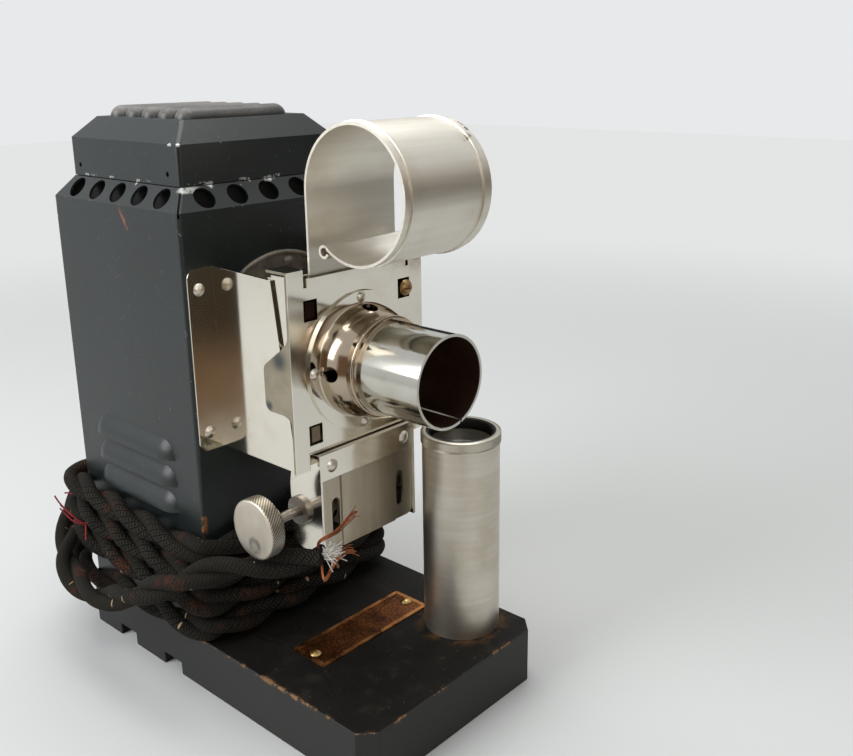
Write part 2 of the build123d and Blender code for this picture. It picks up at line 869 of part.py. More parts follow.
def make_mount():
    """The spun lens mount: flange, dome with four holes, neck and bead."""
    bore = holder_radius + holder_fit
    dome_inner = mount_dome_radius - mount_sheet
    edges = [
        Line((dome_inner, 0), (mount_flange_radius, 0)),
        Line((mount_flange_radius, 0), (mount_flange_radius, mount_sheet)),
        Line((mount_flange_radius, mount_sheet), (mount_dome_radius, mount_sheet)),
        ThreePointArc(
            (mount_dome_radius, mount_sheet), (mount_dome_radius - 0.7, mount_dome_length / 2),
            (mount_neck_radius, mount_dome_length)
        ),
        Line((mount_neck_radius, mount_dome_length), (mount_neck_radius, mount_length)),
        Line((mount_neck_radius, mount_length), (bore, mount_length)),
        Line((bore, mount_length), (bore, mount_dome_length)),
        ThreePointArc(
            (bore, mount_dome_length), (dome_inner - 0.7, mount_dome_length / 2 - mount_sheet),
            (dome_inner, 0)
        ),
    ]
    mount = lathe(edges, 0, door_front, optic_height, FORWARD)
    bead_place = Pos(0, door_front - mount_dome_length - 2.4, optic_height) * Rot(*FORWARD)
    bead = bead_place * Torus(mount_neck_radius, 0.55)
    mount += bead - rod(0, door_front, optic_height, bore + mount_sheet / 2, mount_length, FORWARD)
    for number in range(mount_rivets):
        turn = Pos(0, door_front - mount_dome_length / 2, optic_height) * Rot(
            0, 360 / mount_rivets * number, 0
        )
        mount -= turn * Pos(mount_dome_radius - 1.2, 0, 0) * Rot(0, 0, -25) * Rot(0, 90, 0) * Cylinder(
            mount_hole_radius, 7
        )
    for x, z in mount_rivet_spots():
        mount -= rod(x, door_front + 1, z, 0.9 + screw_clearance, 4, FORWARD)
    return mount


def make_holder():
    """The split tube that grips a lens, with a tongue between two slits below."""
    length = door_front - holder_front
    tube = ring(
        0, door_front, optic_height, holder_radius, holder_radius - holder_wall, length, FORWARD
    )
    for x in slit_places:
        tube -= block(x - slit_width / 2, x + slit_width / 2, holder_front - 1, holder_front + slit_length,
                      optic_height - holder_radius - 1, optic_height - holder_radius / 2)
    return tube


def lens_tube_glass(flat_z, facing):
    """A plano-convex glass in the spare lens; facing 1 bulges up, -1 down."""
    radius = lens_radius - lens_wall - lens_glass_fit
    sag = lens_glass_curve - math.sqrt(lens_glass_curve ** 2 - radius ** 2)
    half_angle = math.asin(radius / lens_glass_curve) / 2
    top = lens_glass_edge + sag
    middle = (
        lens_glass_curve * math.sin(half_angle), top - lens_glass_curve * (1 - math.cos(half_angle))
    )
    edges = [
        Line((0, 0), (radius, 0)),
        Line((radius, 0), (radius, lens_glass_edge)),
        ThreePointArc((radius, lens_glass_edge), middle, (0, top)),
        Line((0, top), (0, 0)),
    ]
    return lathe(edges, lens_x, lens_y, flat_z, (0, 0, 0) if facing > 0 else (180, 0, 0))


lens_top = base_height + lens_height
lens_barrel_top = lens_top - lens_rim_height
lens_bore = lens_radius - lens_wall


def make_magazine():
    """A rolled sheet open at both ends, with a straight tail down into the gate and a curled lip."""
    centre_y = film_face - magazine_radius
    inner = magazine_radius - sheet
    width = 2 * magazine_half
    roll = ring(-magazine_half, centre_y, magazine_height, magazine_radius, inner, width, RIGHTWARD)
    for side in (-1, 1):
        bead_x = side * (magazine_half - magazine_bead_inset)
        roll += ring(
            bead_x - 0.6, centre_y, magazine_height, magazine_radius + magazine_bead, inner, 1.2,
            RIGHTWARD
        )
    curl = math.radians(magazine_curl_angle)
    reach = 2 * magazine_radius
    mouth = [
        (0, 0),
        (reach * math.cos(curl), reach * math.sin(curl)),
        (reach, reach * math.sin(curl)),
        (reach, 0),
    ]
    mouth_cut = Pos(0, centre_y, magazine_height) * side_plate(mouth, -width, width)
    roll -= mouth_cut
    curl_distance = magazine_radius - sheet + magazine_curl_radius
    curl_y = centre_y + curl_distance * math.cos(curl)
    curl_z = magazine_height + curl_distance * math.sin(curl)
    lip = ring(
        -magazine_half, curl_y, curl_z, magazine_curl_radius, magazine_curl_radius - sheet, width,
        RIGHTWARD
    )
    opening = [
        (0, 0), (-3 * magazine_curl_radius, -magazine_curl_radius),
        (-3 * magazine_curl_radius, magazine_curl_radius)
    ]
    lip -= Pos(0, curl_y, curl_z) * side_plate(opening, -width, width)
    tail = block(
        -magazine_half, magazine_half, film_face - sheet, film_face, magazine_tail, magazine_height
    )
    for side in (-1, 1):
        tail -= rod(
            side * magazine_rivet_x, film_face + 1, magazine_tail + 1.6, 0.9 + screw_clearance, 4,
            FORWARD
        )
    return roll + lip + tail


def make_sprocket():
    drum = rod(-sprocket_half, sprocket_y, sprocket_z, sprocket_waist, 2 * sprocket_half, RIGHTWARD)
    for side in (-1, 1):
        row = side * tooth_row
        drum += rod(
            row - tooth_width, sprocket_y, sprocket_z, sprocket_radius, 2 * tooth_width, RIGHTWARD
        )
        for number in range(teeth):
            tooth = Pos(row, 0, sprocket_radius + tooth_rise / 2 - 0.1) * Cone(
                tooth_root, tooth_tip, tooth_rise + 0.2
            )
            drum += Pos(0, sprocket_y, sprocket_z) * Rot(360 / teeth * (number + 0.5), 0, 0) * tooth
    hub_end = ear_inner - end_play
    drum += rod(-hub_end, sprocket_y, sprocket_z, hub_radius, 2 * hub_end, RIGHTWARD)
    return drum - rod(
        -hub_end - 1, sprocket_y, sprocket_z, shaft_radius + screw_clearance / 2, 2 * hub_end + 2,
        RIGHTWARD
    )


def make_bushings():
    """A flanged bearing in each ear."""
    bushings = []
    bore = shaft_radius + shaft_fit
    for side in (-1, 1):
        turn = (0, 90 * side, 0)
        bushing = ring(
            side * ear_inner, sprocket_y, sprocket_z, bushing_radius, bore, shoe_edge - ear_inner, turn
        )
        bushing += ring(
            side * shoe_edge, sprocket_y, sprocket_z, bushing_flange, bore, bushing_flange_depth, turn
        )
        bushings.append(bushing)
    return bushings


collar_start = shoe_edge + bushing_flange_depth + end_play


def make_shaft():
    start = knob_face + 1.2
    end = collar_start + collar_length + 0.4
    return rod(start, sprocket_y, sprocket_z, shaft_radius, end - start, RIGHTWARD)


def make_knob():
    back = knob_rim + knob_boss
    edges = [
        Line((0, 0), (knob_radius - knob_round, 0)),
        ThreePointArc(
            (knob_radius - knob_round, 0), (knob_radius - knob_round * 0.293, knob_round * 0.293),
            (knob_radius, knob_round)
        ),
        Line((knob_radius, knob_round), (knob_radius, knob_rim)),
        Line((knob_radius, knob_rim), (knob_boss_radius + 1, knob_rim + 0.5)),
        Line((knob_boss_radius + 1, knob_rim + 0.5), (knob_boss_radius, back)),
        Line((knob_boss_radius, back), (0, back)),
        Line((0, back), (0, 0)),
    ]
    knob = lathe(edges, knob_face, sprocket_y, sprocket_z, RIGHTWARD)
    return knob - rod(
        knob_face + 1.2, sprocket_y, sprocket_z, shaft_radius + screw_clearance / 2, back, RIGHTWARD
    )


def make_shoe_bracket():
    """The polished band below the door, with a top lip and flanges back to the ears."""
    band = block(-shoe_edge, shoe_edge, shoe_front, shoe_back, band_bottom, band_top)
    band += block(
        -shoe_edge, shoe_edge, shoe_front, shoe_front + shoe_lip_depth, band_top - sheet, band_top
    )
    flange = [
        (shoe_front, band_top),
        (film_face, band_top),
        (film_face, gate_bottom),
        (ear_back - 1, ear_step),
        (ear_back - 1, shoe_flange_bottom),
        (shoe_front, shoe_flange_bottom),
    ]
    for side in (-1, 1):
        x0, x1 = sorted((side * ear_outer, side * shoe_edge))
        band += side_plate(flange, x0, x1, {4: 5.0})
        band -= rod(
            side * (ear_outer - 1), sprocket_y, sprocket_z, bushing_radius + screw_clearance, 4,
            (0, 90 * side, 0)
        )
        band -= rod(side * shoe_rivet_x, shoe_back + 1, shoe_rivet_z, 0.9 + screw_clearance, 4, FORWARD)
    return band


def make_shoe():
    """The satin plate in front of the sprocket: a raised middle and a slotted wing each side."""
    wing_front = shoe_back + shoe_wing_step - sheet
    edge = ear_outer - 0.1
    back = wing_front + sheet
    plate = front_plate(
        [
            (-edge, shoe_bottom), (edge, shoe_bottom), (edge, band_top - 2 * sheet),
            (-edge, band_top - 2 * sheet)
        ],
        wing_front, back, {0: 2.0, 1: 2.0})
    plate += block(
        shoe_centre_left, shoe_centre_right, shoe_back - sheet / 2, wing_front, shoe_bottom, band_bottom
    )
    for side in (-1, 1):
        half = tooth_slot_width / 2
        x = side * tooth_row
        slot = block(
            x - half, x + half, wing_front - 1, back + 1, tooth_slot_low + half, tooth_slot_high - half
        )
        for z in (tooth_slot_low + half, tooth_slot_high - half):
            slot += rod(x, back + 1, z, half, sheet + 2, FORWARD)
        plate -= slot
        plate -= rod(side * shoe_rivet_x, back + 1, shoe_rivet_z, 0.9 + screw_clearance, 4, FORWARD)
    return plate, back


def make_shoe_pad(back):
    """The block that holds film to the drum between its two rows of teeth."""
    half = tooth_row - tooth_width - pad_gap
    pad = block(-half, half, back, sprocket_y - sprocket_waist, sprocket_z - 6, sprocket_z + 6)
    return pad - rod(
        -half - 1, sprocket_y, sprocket_z, sprocket_radius + pad_gap, 2 * half + 2, RIGHTWARD
    )


# Cord route. Turns climb from the rear to the left, front and right, higher at the rear than at
# the front, and the last one passes outside the right louvres.
cord_exit_x = 12.0
cord_exit_z = base_height + bush_flange_radius + cord_clearance + 0.4
cord_start = (cord_exit_x, house_back + bush_flange, cord_exit_z)
cord_low = base_height + cord_clearance + cord_radius


def cord_height(turn):
    """Height of the wound cord's centre after a number of turns from the rear."""
    raised = cord_sag * (1 + math.cos(2 * math.pi * turn)) / 2
    return cord_low + cord_pitch * (turn - 0.5) + raised


def cord_offset(turn):
    """Distance of the wound cord's centre from the lamp house wall."""
    share = min(max((turn - cord_louvre_turn) / 0.2, 0), 1)
    return cord_wall_offset + cord_louvre_offset * share ** 2 * (3 - 2 * share)


def cord_point(turn):
    """A point of the winding: 12 to a turn, two at each corner and one on each side."""
    quarter = round(turn * 12) / 3
    side = math.floor(quarter + 0.5)
    part = round((quarter - side) * 3)
    shown = side / 4 + part * 0.11
    reach = house_half + cord_offset(shown)
    if part == 0:
        x, y = 0.0, reach + cord_bulge
    else:
        x, y = -part * (reach - cord_corner_cut), reach
    angle = side * math.pi / 2
    turned_x = x * math.cos(angle) - y * math.sin(angle)
    turned_y = x * math.sin(angle) + y * math.cos(angle)
    return (turned_x, house_y + turned_y, cord_height(shown))


cord_lead = [
    cord_start,
    (cord_exit_x, house_back + bush_flange + 17.8, cord_exit_z),
    (-14.0, house_back + 19.8, cord_exit_z - 0.4),
    (-39.0, house_back + 11.8, cord_low + 0.6),
    (-48.5, house_back - 7.9, cord_low + 0.9),
]
cord_tail = [
    (-15.0, 84.9, 65.9),
    (-30.0, 89.2, 62.8),
    (-43.0, 88.4, 57.4),
    (-51.0, 80.2, 50.5),
    (-54.0, 69.5, 42.5),
    (-56.5, 58.5, 34.5),
    (-57.5, 46.0, 29.0),
    (-57.5, 31.0, 29.5),
    (-56.5, 15.0, 35.5),
    (-54.0, -1.0, 43.5),
    (-48.0, -13.5, 49.0),
    (-38.5, -22.0, 52.0),
    (-30.5, -31.5, 54.0),
    (-24.6, -42.0, 58.6),
]
first_step = 3
last_step = round(cord_last_turn * 12)
cord_route = cord_lead + [
    cord_point(step / 12)
    for step in range(first_step, last_step + 1)
] + cord_tail


def cord_radii(points):
    """The largest arc that each corner's two runs allow."""
    radii = []
    for before, corner, after in zip(points, points[1:], points[2:]):
        into = Vector(*corner) - Vector(*before)
        out = Vector(*after) - Vector(*corner)
        half_turn = math.radians(into.get_angle(out)) / 2
        radii.append(0.45 * min(into.length, out.length) / math.tan(half_turn))
    return radii


def make_cord():
    radii = cord_radii(cord_route)
    path = FilletPolyline(*cord_route, radius=radii)
    start = Plane(origin=path @ 0, z_dir=path % 0)
    tube = sweep(start * Circle(cord_radius), path=path)
    print("cord radii", round(min(radii), 1), "to", round(max(radii), 1))
    print(
        "cord length", round(path.length, 1), "volume over section",
        round(tube.volume / (math.pi * cord_radius ** 2), 1)
    )
    samples = [path @ (number / 3000) for number in range(3001)]
    step = path.length / 3000
    skip = int(3 * cord_diameter / step)
    gaps = [
        (samples[i] - samples[j]).length
        for i in range(0, 3001, 2) for j in range(i + skip, 3001, 2)
    ]
    print("cord least gap to itself", round(min(gaps) - cord_diameter, 2))
    return tube


def make_bare_wires():
    """The two bared copper ends, as they splay from the cord's end."""
    end = Vector(*cord_tail[-1])
    way = (end - Vector(*cord_tail[-2])).normalized()
    side = way.cross(Vector(0, 0, 1)).normalized()
    up = side.cross(way).normalized()
    upper = end + up * strand_offset
    lower = end - up * strand_offset
    routes = [
        [upper, upper + way * 4, upper + Vector(6.5, -3.5, 4.0), upper + Vector(14.5, -4.0, 5.5)],
        [lower, lower + way * 4, lower + Vector(6.5, -4.5, -2.5), lower + Vector(13.5, -5.0, -7.0)],
    ]
    wires = []
    for route in routes:
        path = FilletPolyline(*route, radius=2.5)
        wires.append(sweep(Plane(origin=path @ 0, z_dir=path % 0) * Circle(wire_radius), path=path))
    return wires


def make_lamp_leads():
    """Two leads from the bushing to the socket."""
    leads = []
    for side in (-1, 1):
        x = cord_exit_x + side * 1.8
        route = [
            (x, house_back - sheet - 0.2, cord_exit_z),
            (x, house_back - 14, cord_exit_z),
            (side * 3.5, filament_y + 4, insulator_bottom - 8),
            (side * 2.2, filament_y, insulator_bottom - bracket_sheet - 3),
            (side * 2.0, filament_y, insulator_bottom - 0.1),
        ]
        path = FilletPolyline(*route, radius=[6.0, 3.0, 1.5])
        leads.append(sweep(Plane(origin=path @ 0, z_dir=path % 0) * Circle(1.1), path=path))
    return leads


def make_cord_bushing():
    bushing = rod(cord_exit_x, house_back - sheet, cord_exit_z, bush_body_radius, sheet, BACKWARD)
    bushing += rod(cord_exit_x, house_back, cord_exit_z, bush_flange_radius, bush_flange, BACKWARD)
    for side in (-1, 1):
        bushing -= rod(
            cord_exit_x + side * 1.8, house_back - sheet - 1, cord_exit_z, 1.3, sheet + 1, BACKWARD
        )
    return bushing


save("base_board", make_base())
save("lamphouse_shell", make_house())
save("lamphouse_cap", make_cap())
save("lamphouse_screws", Compound([wood_screw(x, y, base_height + sheet, 2.6) for x, y in foot_places]))

save("condenser_flange", make_cond_flange())
cond_rivets = []
for x, z in cond_rivet_spots():
    spot = (x, house_front - cond_flange_thickness, z)
    cond_rivets.append(dome_head(*spot, rivet_radius, rivet_rise, 1, cond_flange_thickness - 0.05, FORWARD))
save("condenser_rivets", Compound(cond_rivets))
cond_back = cond_front + cond_length
save(
    "condenser_tube",
    ring(0, cond_front, optic_height, cond_tube_radius, cond_bore, cond_length, BACKWARD)
)
ring_radius = cond_bore - cond_fit
front_flat = cond_front + cond_ring_length + 0.2
rear_flat = cond_back - cond_ring_length - 0.2
save("condenser_lens_front", condenser_lens(front_flat, 1))
save("condenser_lens_rear", condenser_lens(rear_flat, -1))
spacer_bore = ring_radius - cond_wall
spacer_seat = math.sqrt(cond_lens_curve ** 2 - spacer_bore ** 2) - math.sqrt(
    cond_lens_curve ** 2 - ring_radius ** 2
)
spacer_start = front_flat + cond_lens_edge + spacer_seat + 0.05
spacer_length = rear_flat - front_flat - 2 * (cond_lens_edge + spacer_seat) - 0.1
save(
    "condenser_spacer",
    ring(0, spacer_start, optic_height, ring_radius, spacer_bore, spacer_length, BACKWARD)
)
ring_starts = (front_flat - cond_ring_length, rear_flat)
retainers = [
    ring(0, y, optic_height, ring_radius, ring_radius - 2, cond_ring_length, BACKWARD)
    for y in ring_starts
]
save("condenser_retainers", Compound(retainers))

save("lamp_bulb", make_bulb())
save("lamp_filament", make_filament())
save("lamp_base", rod(0, filament_y, lamp_cap_bottom, lamp_cap_radius, lamp_cap_length))
save("lamp_socket", make_socket())
save("socket_insulator", rod(0, filament_y, insulator_bottom, insulator_radius, insulator_height))
save("socket_bracket", make_socket_bracket())
save(
    "socket_screws",
    Compound([wood_screw(x, y, base_height + bracket_sheet, 2.6) for x, y in socket_screw_places])
)
save("reflector", make_reflector())
save("reflector_stud", make_reflector_stud())
save("lamp_leads", Compound(make_lamp_leads()))
save("cord_bushing", make_cord_bushing())

save("gate_bracket_left", make_bracket(-1))
save("gate_bracket_right", make_bracket(1))
save("bracket_rivets", Compound(make_house_rivets()))
save("aperture_plate", make_rear_plate())
save("pressure_plate", make_pressure_plate())
save("pressure_springs", Compound(make_pressure_springs()))
save("gate_door", make_door())
save("door_hinge_leaf", make_hinge_leaf())
save("door_hinge_pin", make_hinge_pin())
screw_seat = door_front - 0.3
gate_screw = dome_head(
    window_x + 0.7, screw_seat, window_upper, 2.6, 1.7, 1.3, pressure_front - screw_seat, FORWARD
)
gate_slot = block(
    window_x - 4, window_x + 5, screw_seat - 3, screw_seat - 0.9, window_upper - 0.35,
    window_upper + 0.35
)
save("gate_screw", gate_screw - gate_slot)

save("lens_mount", make_mount())
mount_rivet_solids = []
for x, z in mount_rivet_spots():
    spot = (x, door_front - mount_sheet, z)
    mount_rivet_solids.append(dome_head(*spot, 1.75, 1.0, 0.9, mount_sheet + sheet - 0.05, FORWARD))
save("lens_mount_rivets", Compound(mount_rivet_solids))
save("lens_holder_tube", make_holder())

save(
    "lens_barrel",
    ring(lens_x, lens_y, base_height, lens_radius, lens_bore, lens_barrel_top - base_height)
)
save(
    "lens_rim_ring",
    ring(lens_x, lens_y, lens_barrel_top, lens_rim_radius, lens_rim_bore, lens_rim_height)
)
save("lens_front_glass", lens_tube_glass(lens_top - lens_front_seat, -1))
save("lens_rear_glass", lens_tube_glass(base_height + lens_rear_seat, 1))
save(
    "lens_stop",
    ring(lens_x, lens_y, base_height + lens_height / 2, lens_bore - lens_glass_fit, lens_stop_radius, 1.0)
)

save("film_magazine", make_magazine())
magazine_rivet_solids = []
for side in (-1, 1):
    spot = (side * magazine_rivet_x, plate_back_face, magazine_tail + 1.6)
    magazine_rivet_solids.append(dome_head(*spot, 1.5, 0.7, 0.9, 2 * sheet - 0.05, BACKWARD))
save("magazine_rivets", Compound(magazine_rivet_solids))

save("film_sprocket", make_sprocket())
save("sprocket_shaft", make_shaft())
save(
    "shaft_collar",
    ring(
        collar_start, sprocket_y, sprocket_z, collar_radius, shaft_radius + screw_clearance / 2,
        collar_length, RIGHTWARD
    )
)
save("shaft_bushings", Compound(make_bushings()))
save("advance_knob", make_knob())
save("shoe_bracket", make_shoe_bracket())
shoe_plate, shoe_plate_back = make_shoe()
save("film_shoe", shoe_plate)
save("film_shoe_pad", make_shoe_pad(shoe_plate_back))
shoe_rivet_solids = []
for side in (-1, 1):
    spot = (side * shoe_rivet_x, shoe_front, shoe_rivet_z)
    shank = shoe_plate_back - shoe_front - 0.05
    shoe_rivet_solids.append(dome_head(*spot, 2.1, 1.0, 0.9, shank, FORWARD))
save("shoe_rivets", Compound(shoe_rivet_solids))

plate_solid = block(
    -plate_half, plate_half, plate_front, plate_back, base_height, base_height + plate_sheet
)
for side in (-1, 1):
    plate_solid -= rod(
        side * plate_screw_x, plate_screw_y, base_height - 1, foot_screw_radius + screw_clearance, 4
    )
save("nameplate", plate_solid)
plate_screws = [
    wood_screw(side * plate_screw_x, plate_screw_y, base_height + plate_sheet, plate_screw_radius)
    for side in (-1, 1)
]
save("nameplate_screws", Compound(plate_screws))

save("power_cord", make_cord())
save("cord_bare_wires", Compound(make_bare_wires()))
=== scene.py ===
import bmesh
import bpy
import math
import random
from mathutils import Matrix, Vector


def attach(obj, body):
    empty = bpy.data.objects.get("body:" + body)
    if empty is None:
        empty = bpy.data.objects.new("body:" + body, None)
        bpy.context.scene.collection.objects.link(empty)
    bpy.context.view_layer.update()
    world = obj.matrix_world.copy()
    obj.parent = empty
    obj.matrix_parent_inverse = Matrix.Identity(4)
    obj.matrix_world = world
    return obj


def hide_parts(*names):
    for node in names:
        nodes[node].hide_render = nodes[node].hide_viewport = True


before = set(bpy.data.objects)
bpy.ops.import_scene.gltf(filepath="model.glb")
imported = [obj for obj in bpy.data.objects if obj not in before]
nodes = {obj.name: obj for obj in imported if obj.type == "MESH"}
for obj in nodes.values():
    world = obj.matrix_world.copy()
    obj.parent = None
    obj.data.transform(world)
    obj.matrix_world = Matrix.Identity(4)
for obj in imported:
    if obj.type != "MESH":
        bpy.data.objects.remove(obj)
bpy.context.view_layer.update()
scene = bpy.context.scene
mm = 0.001
print("frame loaded:", len(nodes), "nodes")


# Camera, at the photograph's viewing angle
cameraSet = {
    "place": (-0.20122, -0.24765, 0.20120),
    "azimuth": -48.179,
    "elevation": 16.080,
    "roll": -0.609,
    "focalPixels": 990.80,
    "centre": (438.72, 347.48),
    "size": (853, 756),
    "sensor": 36.0,
}


def makeCamera(settings):
    azimuth, elevation, roll = [math.radians(settings[key]) for key in ("azimuth", "elevation", "roll")]
    right = Vector((math.cos(azimuth), math.sin(azimuth), 0))
    level = math.cos(elevation)
    back = Vector((math.sin(azimuth) * level, -math.cos(azimuth) * level, math.sin(elevation)))
    up = back.cross(right)
    turnedRight = right * math.cos(roll) + up * math.sin(roll)
    turnedUp = up * math.cos(roll) - right * math.sin(roll)
    width, height = settings["size"]
    data = bpy.data.cameras.new("photoCamera")
    data.sensor_fit = "HORIZONTAL"
    data.sensor_width = settings["sensor"]
    data.lens = settings["focalPixels"] / width * settings["sensor"]
    data.shift_x = -(settings["centre"][0] - width / 2) / width
    data.shift_y = (settings["centre"][1] - height / 2) / width
    data.clip_start = 0.01
    camera = bpy.data.objects.new("photoCamera", data)
    turn = Matrix((turnedRight, turnedUp, back)).transposed().to_4x4()
    camera.matrix_world = Matrix.Translation(settings["place"]) @ turn
    scene.collection.objects.link(camera)
    scene.camera = camera


makeCamera(cameraSet)
print("camera placed")


# Shader maths: a link wraps an output socket, and an expression on links adds Math nodes
class Link:
    def __init__(self, finish, socket):
        self.finish = finish
        self.socket = socket

    def maths(self, operation, *values):
        return self.finish.node("ShaderNodeMath", {"operation": operation}, values)

    def root(self):
        return self.maths("SQRT", self)

    def __add__(self, other):
        return self.maths("ADD", self, other)

    __radd__ = __add__

    def __sub__(self, other):
        return self.maths("SUBTRACT", self, other)

    def __rsub__(self, other):
        return self.maths("SUBTRACT", other, self)

    def __mul__(self, other):
        return self.maths("MULTIPLY", self, other)

    __rmul__ = __mul__

    def __truediv__(self, other):
        return self.maths("DIVIDE", self, other)

    def __gt__(self, other):
        return self.maths("GREATER_THAN", self, other)

    def __abs__(self):
        return self.maths("ABSOLUTE", self)

    def clip(self):
        return self.over(0.0).under(1.0)

    def over(self, other):
        return self.maths("MAXIMUM", self, other)

    def under(self, other):
        return self.maths("MINIMUM", self, other)


class Finish:
    def __init__(self, name):
        self.material = bpy.data.materials.new(name)
        self.material.use_nodes = True
        self.tree = self.material.node_tree
        self.tree.nodes.clear()

    def node(self, kind, settings=None, inputs=(), output=0):
        made = self.tree.nodes.new(kind)
        for key, value in (settings or {}).items():
            setattr(made, key, value)
        pairs = inputs.items() if isinstance(inputs, dict) else enumerate(inputs)
        for key, value in pairs:
            socket = made.inputs[key]
            if isinstance(value, Link):
                self.tree.links.new(value.socket, socket)
            elif value is not None:
                plain = (*value, 1) if socket.type == "RGBA" and len(value) == 3 else value
                socket.default_value = plain
        return Link(self, made.outputs[output])

    def twin(self, link, name):
        return Link(self, link.socket.node.outputs[name])

    def coords(self):
        return self.node("ShaderNodeTexCoord", output=3)

    # the point on the object, in millimetres
    def axes(self):
        made = self.node("ShaderNodeSeparateXYZ", None, [self.coords()])
        return [self.twin(made, number) * 1000 for number in range(3)]

    def noise(self, scale, detail=2.0, rough=0.5, stretch=(1, 1, 1), turn=(0, 0, 0), twist=0.0):
        placed = {"Vector": self.coords(), "Scale": stretch, "Rotation": turn}
        spot = self.node("ShaderNodeMapping", None, placed)
        inputs = {"Vector": spot, "Scale": scale, "Detail": detail, "Roughness": rough, "Distortion": twist}
        return self.node("ShaderNodeTexNoise", None, inputs)

    # from 0 at low to 1 at high, smooth between
    def ease(self, value, low, high):
        inputs = {0: value, 1: low, 2: high, 3: 0.0, 4: 1.0}
        return self.node("ShaderNodeMapRange", {"interpolation_type": "SMOOTHSTEP"}, inputs)

    def vectors(self, operation, inputs, output=0):
        return self.node("ShaderNodeVectorMath", {"operation": operation}, inputs, output)

    # 1 within a radius of a point, fading to 0 at the outer radius
    def ball(self, centre, inner, outer):
        point = tuple(value * mm for value in centre)
        away = self.vectors("DISTANCE", [self.coords(), point], 1) * 1000
        return self.ease(away, outer, inner)

    # 1 along a straight line between two points, fading to 0 beside it
    def stroke(self, start, end, inner, outer):
        first = Vector(start) * mm
        run = Vector(end) * mm - first
        offset = self.vectors("SUBTRACT", [self.coords(), tuple(first)])
        share = self.vectors("DOT_PRODUCT", [offset, tuple(run)], 1)
        share = (share * (1 / run.length_squared)).clip()
        near = self.vectors("SCALE", {0: tuple(run), "Scale": share})
        away = self.vectors("DISTANCE", [offset, near], 1) * 1000
        return self.ease(away, outer, inner)

    def mix(self, factor, first, second):
        return self.node("ShaderNodeMix", {"data_type": "RGBA"}, {0: factor, 6: first, 7: second}, 2)

    def lump(self, height, strength, distance):
        inputs = {"Strength": strength, "Distance": distance, "Height": height}
        return self.node("ShaderNodeBump", None, inputs)

    def done(self, colour, rough, normal=None, metallic=0.0, others=None):
        inputs = {"Base Color": colour, "Roughness": rough, "Normal": normal, "Metallic": metallic}
        return self.finishWith(self.node("ShaderNodeBsdfPrincipled", None, {**inputs, **(others or {})}))

    def finishWith(self, shader):
        made = self.tree.nodes.new("ShaderNodeOutputMaterial")
        self.tree.links.new(shader.socket, made.inputs["Surface"])
        return self.material


# distance from a line along one axis, through the centre on the two others
def distanceFrom(first, second, centre=(0, 0)):
    beside = first - centre[0]
    above = second - centre[1]
    return (beside * beside + above * above).root()


# Sizes that several pieces share, in millimetres, as in the source
shared = {
    "houseHalf": 36.25, "houseY": 38.1,
    "houseBack": 74.35,
    "wallTop": 159.16, "shoulderTop": 165.81,
    "capHalf": 30.9,
    "opticHeight": 113.8,
    "baseTop": 19.05,
    "sprocket": (-27.9, 68.4), "lensAt": (25.2, -54.2),
    "plateY": -32.0,
}


# Paint of the lamp house: dark slate with fine orange peel, dust and chips along its edges, and a painted
# highlight at one corner of the cap
paintSet = {
    "dark": (0.0070, 0.0095, 0.0092),
    "faded": (0.018, 0.0235, 0.023),
    "chip": (0.55, 0.56, 0.53),
    "rust": (0.24, 0.09, 0.025),
    "scratch": (0.19, 0.052, 0.030),
    "dust": (0.20, 0.185, 0.17),
    "inside": (0.020, 0.018, 0.016),
    "seam": (0.002, 0.002, 0.002),
    "roof": (184.9, 186.8),
    "slopeEdge": 178.45,
    "capRim": 166.3,
    "seamTop": (178.6, 178.0),
    "capInside": (177.6, 177.9),
    "cornerGlint": ((-30.6, 7.4, 178.6), 0.5, 0.9),
    "rub": ((-29.0, 4.0, 165.2), 2.0, 6.5),
    "rubAbove": (163.9, 164.7),
    "scratchLine": ((-36.25, 34.2, 159.0), (-36.25, 30.2, 152.2), 0.35, 1.0),
    "rustLine": ((-36.0, 2.2, 55.5), (-35.6, 1.9, 61.0), 0.5, 1.5),
    "houseInside": (158.2, 158.6),
}


